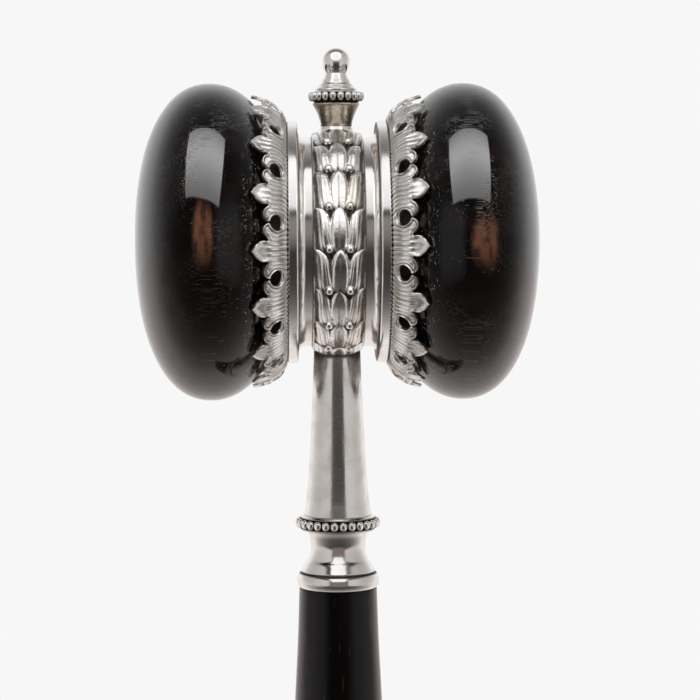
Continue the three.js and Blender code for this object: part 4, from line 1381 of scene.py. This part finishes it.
def bead(radius, middle, width, steps=14, rings=9):
    """An oval bead with its middle at a radius and height, fuller above than below."""
    points, faces = [(radius, 0, middle + bead_height / 2)], []
    for ring in range(1, rings):
        down = math.pi * ring / rings
        full = math.sin(down) * (1 + bead_fullness * math.cos(down))
        for k in range(steps):
            turn = 2 * math.pi * k / steps
            x = radius + bead_depth / 2 * full * math.cos(turn)
            points.append((x, width / 2 * full * math.sin(turn), middle + bead_height / 2 * math.cos(down)))
    points.append((radius, 0, middle - bead_height / 2))
    foot = 1 + (rings - 2) * steps
    for k in range(steps):
        after = (k + 1) % steps
        faces.append([0, 1 + k, 1 + after])
        for high in range(1, foot, steps):
            low = high + steps
            faces.append([high + k, low + k, low + after, high + after])
        faces.append([len(points) - 1, foot + after, foot + k])
    return np.array(points), faces


def bead_cell(bore, radius, foot, height, beads, underside_oxide_and_shade):
    """One bead with its share of the ring, in line with the axis X."""
    lips = [[radius - bead_depth * inwards, foot + height * up] for inwards, up in lip_shares]
    profile = softened([[bore, foot], *lips, [bore, foot + height]], edge_rounding)
    half = math.pi / beads
    points, faces = [], []
    for k in range(bead_sectors + 1):
        angle = -half + 2 * half * k / bead_sectors
        points += [(r * math.cos(angle), r * math.sin(angle), h) for r, h in profile]
    count = len(profile)
    for near in range(0, bead_sectors * count, count):
        far = near + count
        for j in range(count):
            after = (j + 1) % count
            faces.append([near + j, far + j, far + after, near + after])
    middle, centre = foot + height / 2, radius + bead_depth * bead_outset
    bead_points, bead_faces = bead(centre, middle, 2 * math.sin(half) * centre * bead_width_share)
    faces += [[index + len(points) for index in face] for face in bead_faces]
    points = np.array(points)
    shelf = (np.hypot(points[:, 0], points[:, 1]) - radius) / bead_depth + shelf_place
    level = np.abs(points[:, 2] - middle) / height
    ring_hollow = smooth_step(shelf, 0, shelf_reach) * (1 - smooth_step(level, *shelf_levels))
    # Oxide and painted shade on the ring's underside, under the beads
    underside = 1 - smooth_step((points[:, 2] - foot) / height, *underside_levels)
    ring_hollow = np.maximum(ring_hollow, underside * underside_oxide_and_shade)
    bead_back = smooth_step((centre - bead_points[:, 0]) / bead_depth, 0, bead_back_reach)
    # Painted shade darkening the lower half of each bead
    lower_bead_shade = smooth_step((middle - bead_points[:, 2]) / bead_height, *painted_bead_shade_levels)
    bead_hollow = np.maximum(bead_back_dirt * bead_back, painted_bead_shade * lower_bead_shade)
    return np.concatenate([points, bead_points]), faces, np.concatenate([ring_hollow, bead_hollow])


bright_beads = silver("beaded_silver", tarnish=0.25, roughness=0.12)
for node, (name, ring) in bead_rings.items():
    points, faces, oxide_and_shade = bead_cell(**ring)
    beaded = shaped(name, points, faces, bright_beads)
    shade_hollows(beaded, oxide_and_shade)
    first_turn = math.pi / 2 + math.pi / ring["beads"]
    setting = {"copies": ring["beads"], "axis": (0, 0, 1), "first_turn": first_turn, "centre": (0, 0, 0)}
    grown(beaded, round_axis, **setting, seam=seam, finish=bright_beads)
    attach(beaded, "root")
    lit_by(beaded, *silver_lamps)
    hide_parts(node)

# Finial. A thin foot ring dressed to the band, a flared vase whose silver has gone warm and brown, a domed
# cap and a ball on a short neck. All are turned, and the tie rod's bush pulls them down on the band.
vase_foot, vase_top = (corner.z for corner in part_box("finial_vase"))
cap_foot, cap_top = (corner.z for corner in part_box("finial_dome"))
ball_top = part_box("finial_ball")[1].z
foot_ring_radius = 4.15 * mm
foot_ring_taper = 0.35 * mm
foot_ring_points = 8
foot_ring_foot = head_height + band_rim_radius
vase_foot_radius = 3.75 * mm
vase_lip_radius = 5.6 * mm
cap_radius = 5 * mm
cap_neck_radius = 3.3 * mm
ball_radius = 3.34 * mm
ball_stud_radius = 1.5 * mm
ball_stud_length = 2.6 * mm
stud_gap = 0.3 * mm
vase_light = (0.78, 0.69, 0.58, 1)
vase_dark = (0.4, 0.325, 0.24, 1)
vase_shares = [
    [0, 0], [0.04, 0.16], [0.16, 0.32], [0.35, 0.5], [0.66, 0.72], [0.93, 0.88], [1, 0.95], [0.88, 1],
]
cap_shares = [[1, 0], [1, 0.12], [0.85, 0.24], [0.5, 0.36], [0.44, 0.5], [0.14, 0.72], [0, 1]]
ball_neck = [  # radius and height over the cap, in mm, up to the ball's fullest round
    [3.0, 0], [2.86, 0.5], [2.7, 1.0], [2.6, 1.4], [2.62, 1.62],
    [2.78, 1.95], [2.97, 2.4], [3.15, 2.95], [3.27, 3.5],
]


def finial_piece(name, profile, material, node, sign=0):
    points, faces = turned(profile, silver_steps)
    made = shaped(name, saddled(points, sign) if sign else points, faces, material)
    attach(made, "root")
    lit_by(made, *silver_lamps)
    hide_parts(node)
    return made


foot_ring = [
    [foot_ring_radius - foot_ring_taper * rise**2, foot_ring_foot + (vase_foot - foot_ring_foot) * rise]
    for rise in np.linspace(0, 1, foot_ring_points)
]
foot_ring = [[rod_hole_radius, foot_ring_foot], *foot_ring, [rod_hole_radius, vase_foot]]
finial_piece("foot_ring", foot_ring, polished, "finial_foot_ring", sign=1)

warm_look = {"tarnish": 1.0, "roughness": 0.25, "lathe": 2.2, "chased": 0.3}
warm = silver("warm_silver", warm=vase_dark, bright=vase_light, **warm_look)
vase_side = smooth_line(scaled(vase_shares, vase_foot_radius, vase_lip_radius, vase_foot, vase_top), steps=6)
vase_profile = [[bush_bore, vase_foot], *vase_side, [bush_bore, vase_top]]
vase = finial_piece("vase", vase_profile, warm, "finial_vase")
lit_by(vase, *vase_lamps)

cap_side = smooth_line(scaled(cap_shares, cap_neck_radius, cap_radius, cap_foot, cap_top), steps=6)
stud_bore = ball_stud_radius + stud_gap
cap = [[stud_bore, cap_foot], *cap_side, [stud_bore, cap_top]]
finial_piece("cap", cap, polished, "finial_dome")

stud_foot = cap_top - ball_stud_length
stud = [[0, stud_foot], [ball_stud_radius, stud_foot], [ball_stud_radius, cap_top]]
neck = smooth_line([[radius * mm, cap_top + up * mm] for radius, up in ball_neck], steps=6)
ball_round = arc([0, ball_top - ball_radius], ball_radius, ball_radius, 0, 90, steps=30)[1:]
ball = finial_piece("ball", [*stud, *neck, *ball_round], polished, "finial_ball")
lit_by(ball, *ball_lamps)

# Inner pieces. A hardwood core plugs the barrel, and each cheek is drawn against it by a dowel screw. A
# brass bush, tapped for the tie rod, sits in the vase. None of these is seen from outside.
core_light = (0.36, 0.22, 0.12, 1)
core_dark = (0.2, 0.11, 0.055, 1)
core_stretch = (0.08, 1, 1)
growth_noise, growth_edges = (700, 5), (0.35, 0.65)
core_pore_noise, core_dullness = (4500, 1), (0.3, 0.8, 0.5, 0.75)
core_relief, core_depth = 0.5, 0.1 * mm
brass_bright = (0.78, 0.56, 0.26, 1)
brass_dull = (0.45, 0.31, 0.14, 1)
brass_roughness = 0.25


def hardwood(name):
    """Sawn and turned hardwood with growth rings and pores."""
    material, tree, place = new_material(name)
    grain = stretched(tree, place, core_stretch)
    rings, pores = noise(tree, grain, *growth_noise), noise(tree, grain, *core_pore_noise)
    wires = {
        "Base Color": blend(tree, between(tree, rings, *growth_edges), core_light, core_dark),
        "Roughness": between(tree, pores, *core_dullness),
        "Normal": bump(tree, core_relief, core_depth, pores),
    }
    finish_surface(tree, wires)
    return material


refinish("core_block", hardwood("core_hardwood"))
refinish("left_dowel_screw", steel)
refinish("right_dowel_screw", steel)
refinish("finial_bush", drawn_metal("turned_brass", brass_bright, brass_dull, brass_roughness))
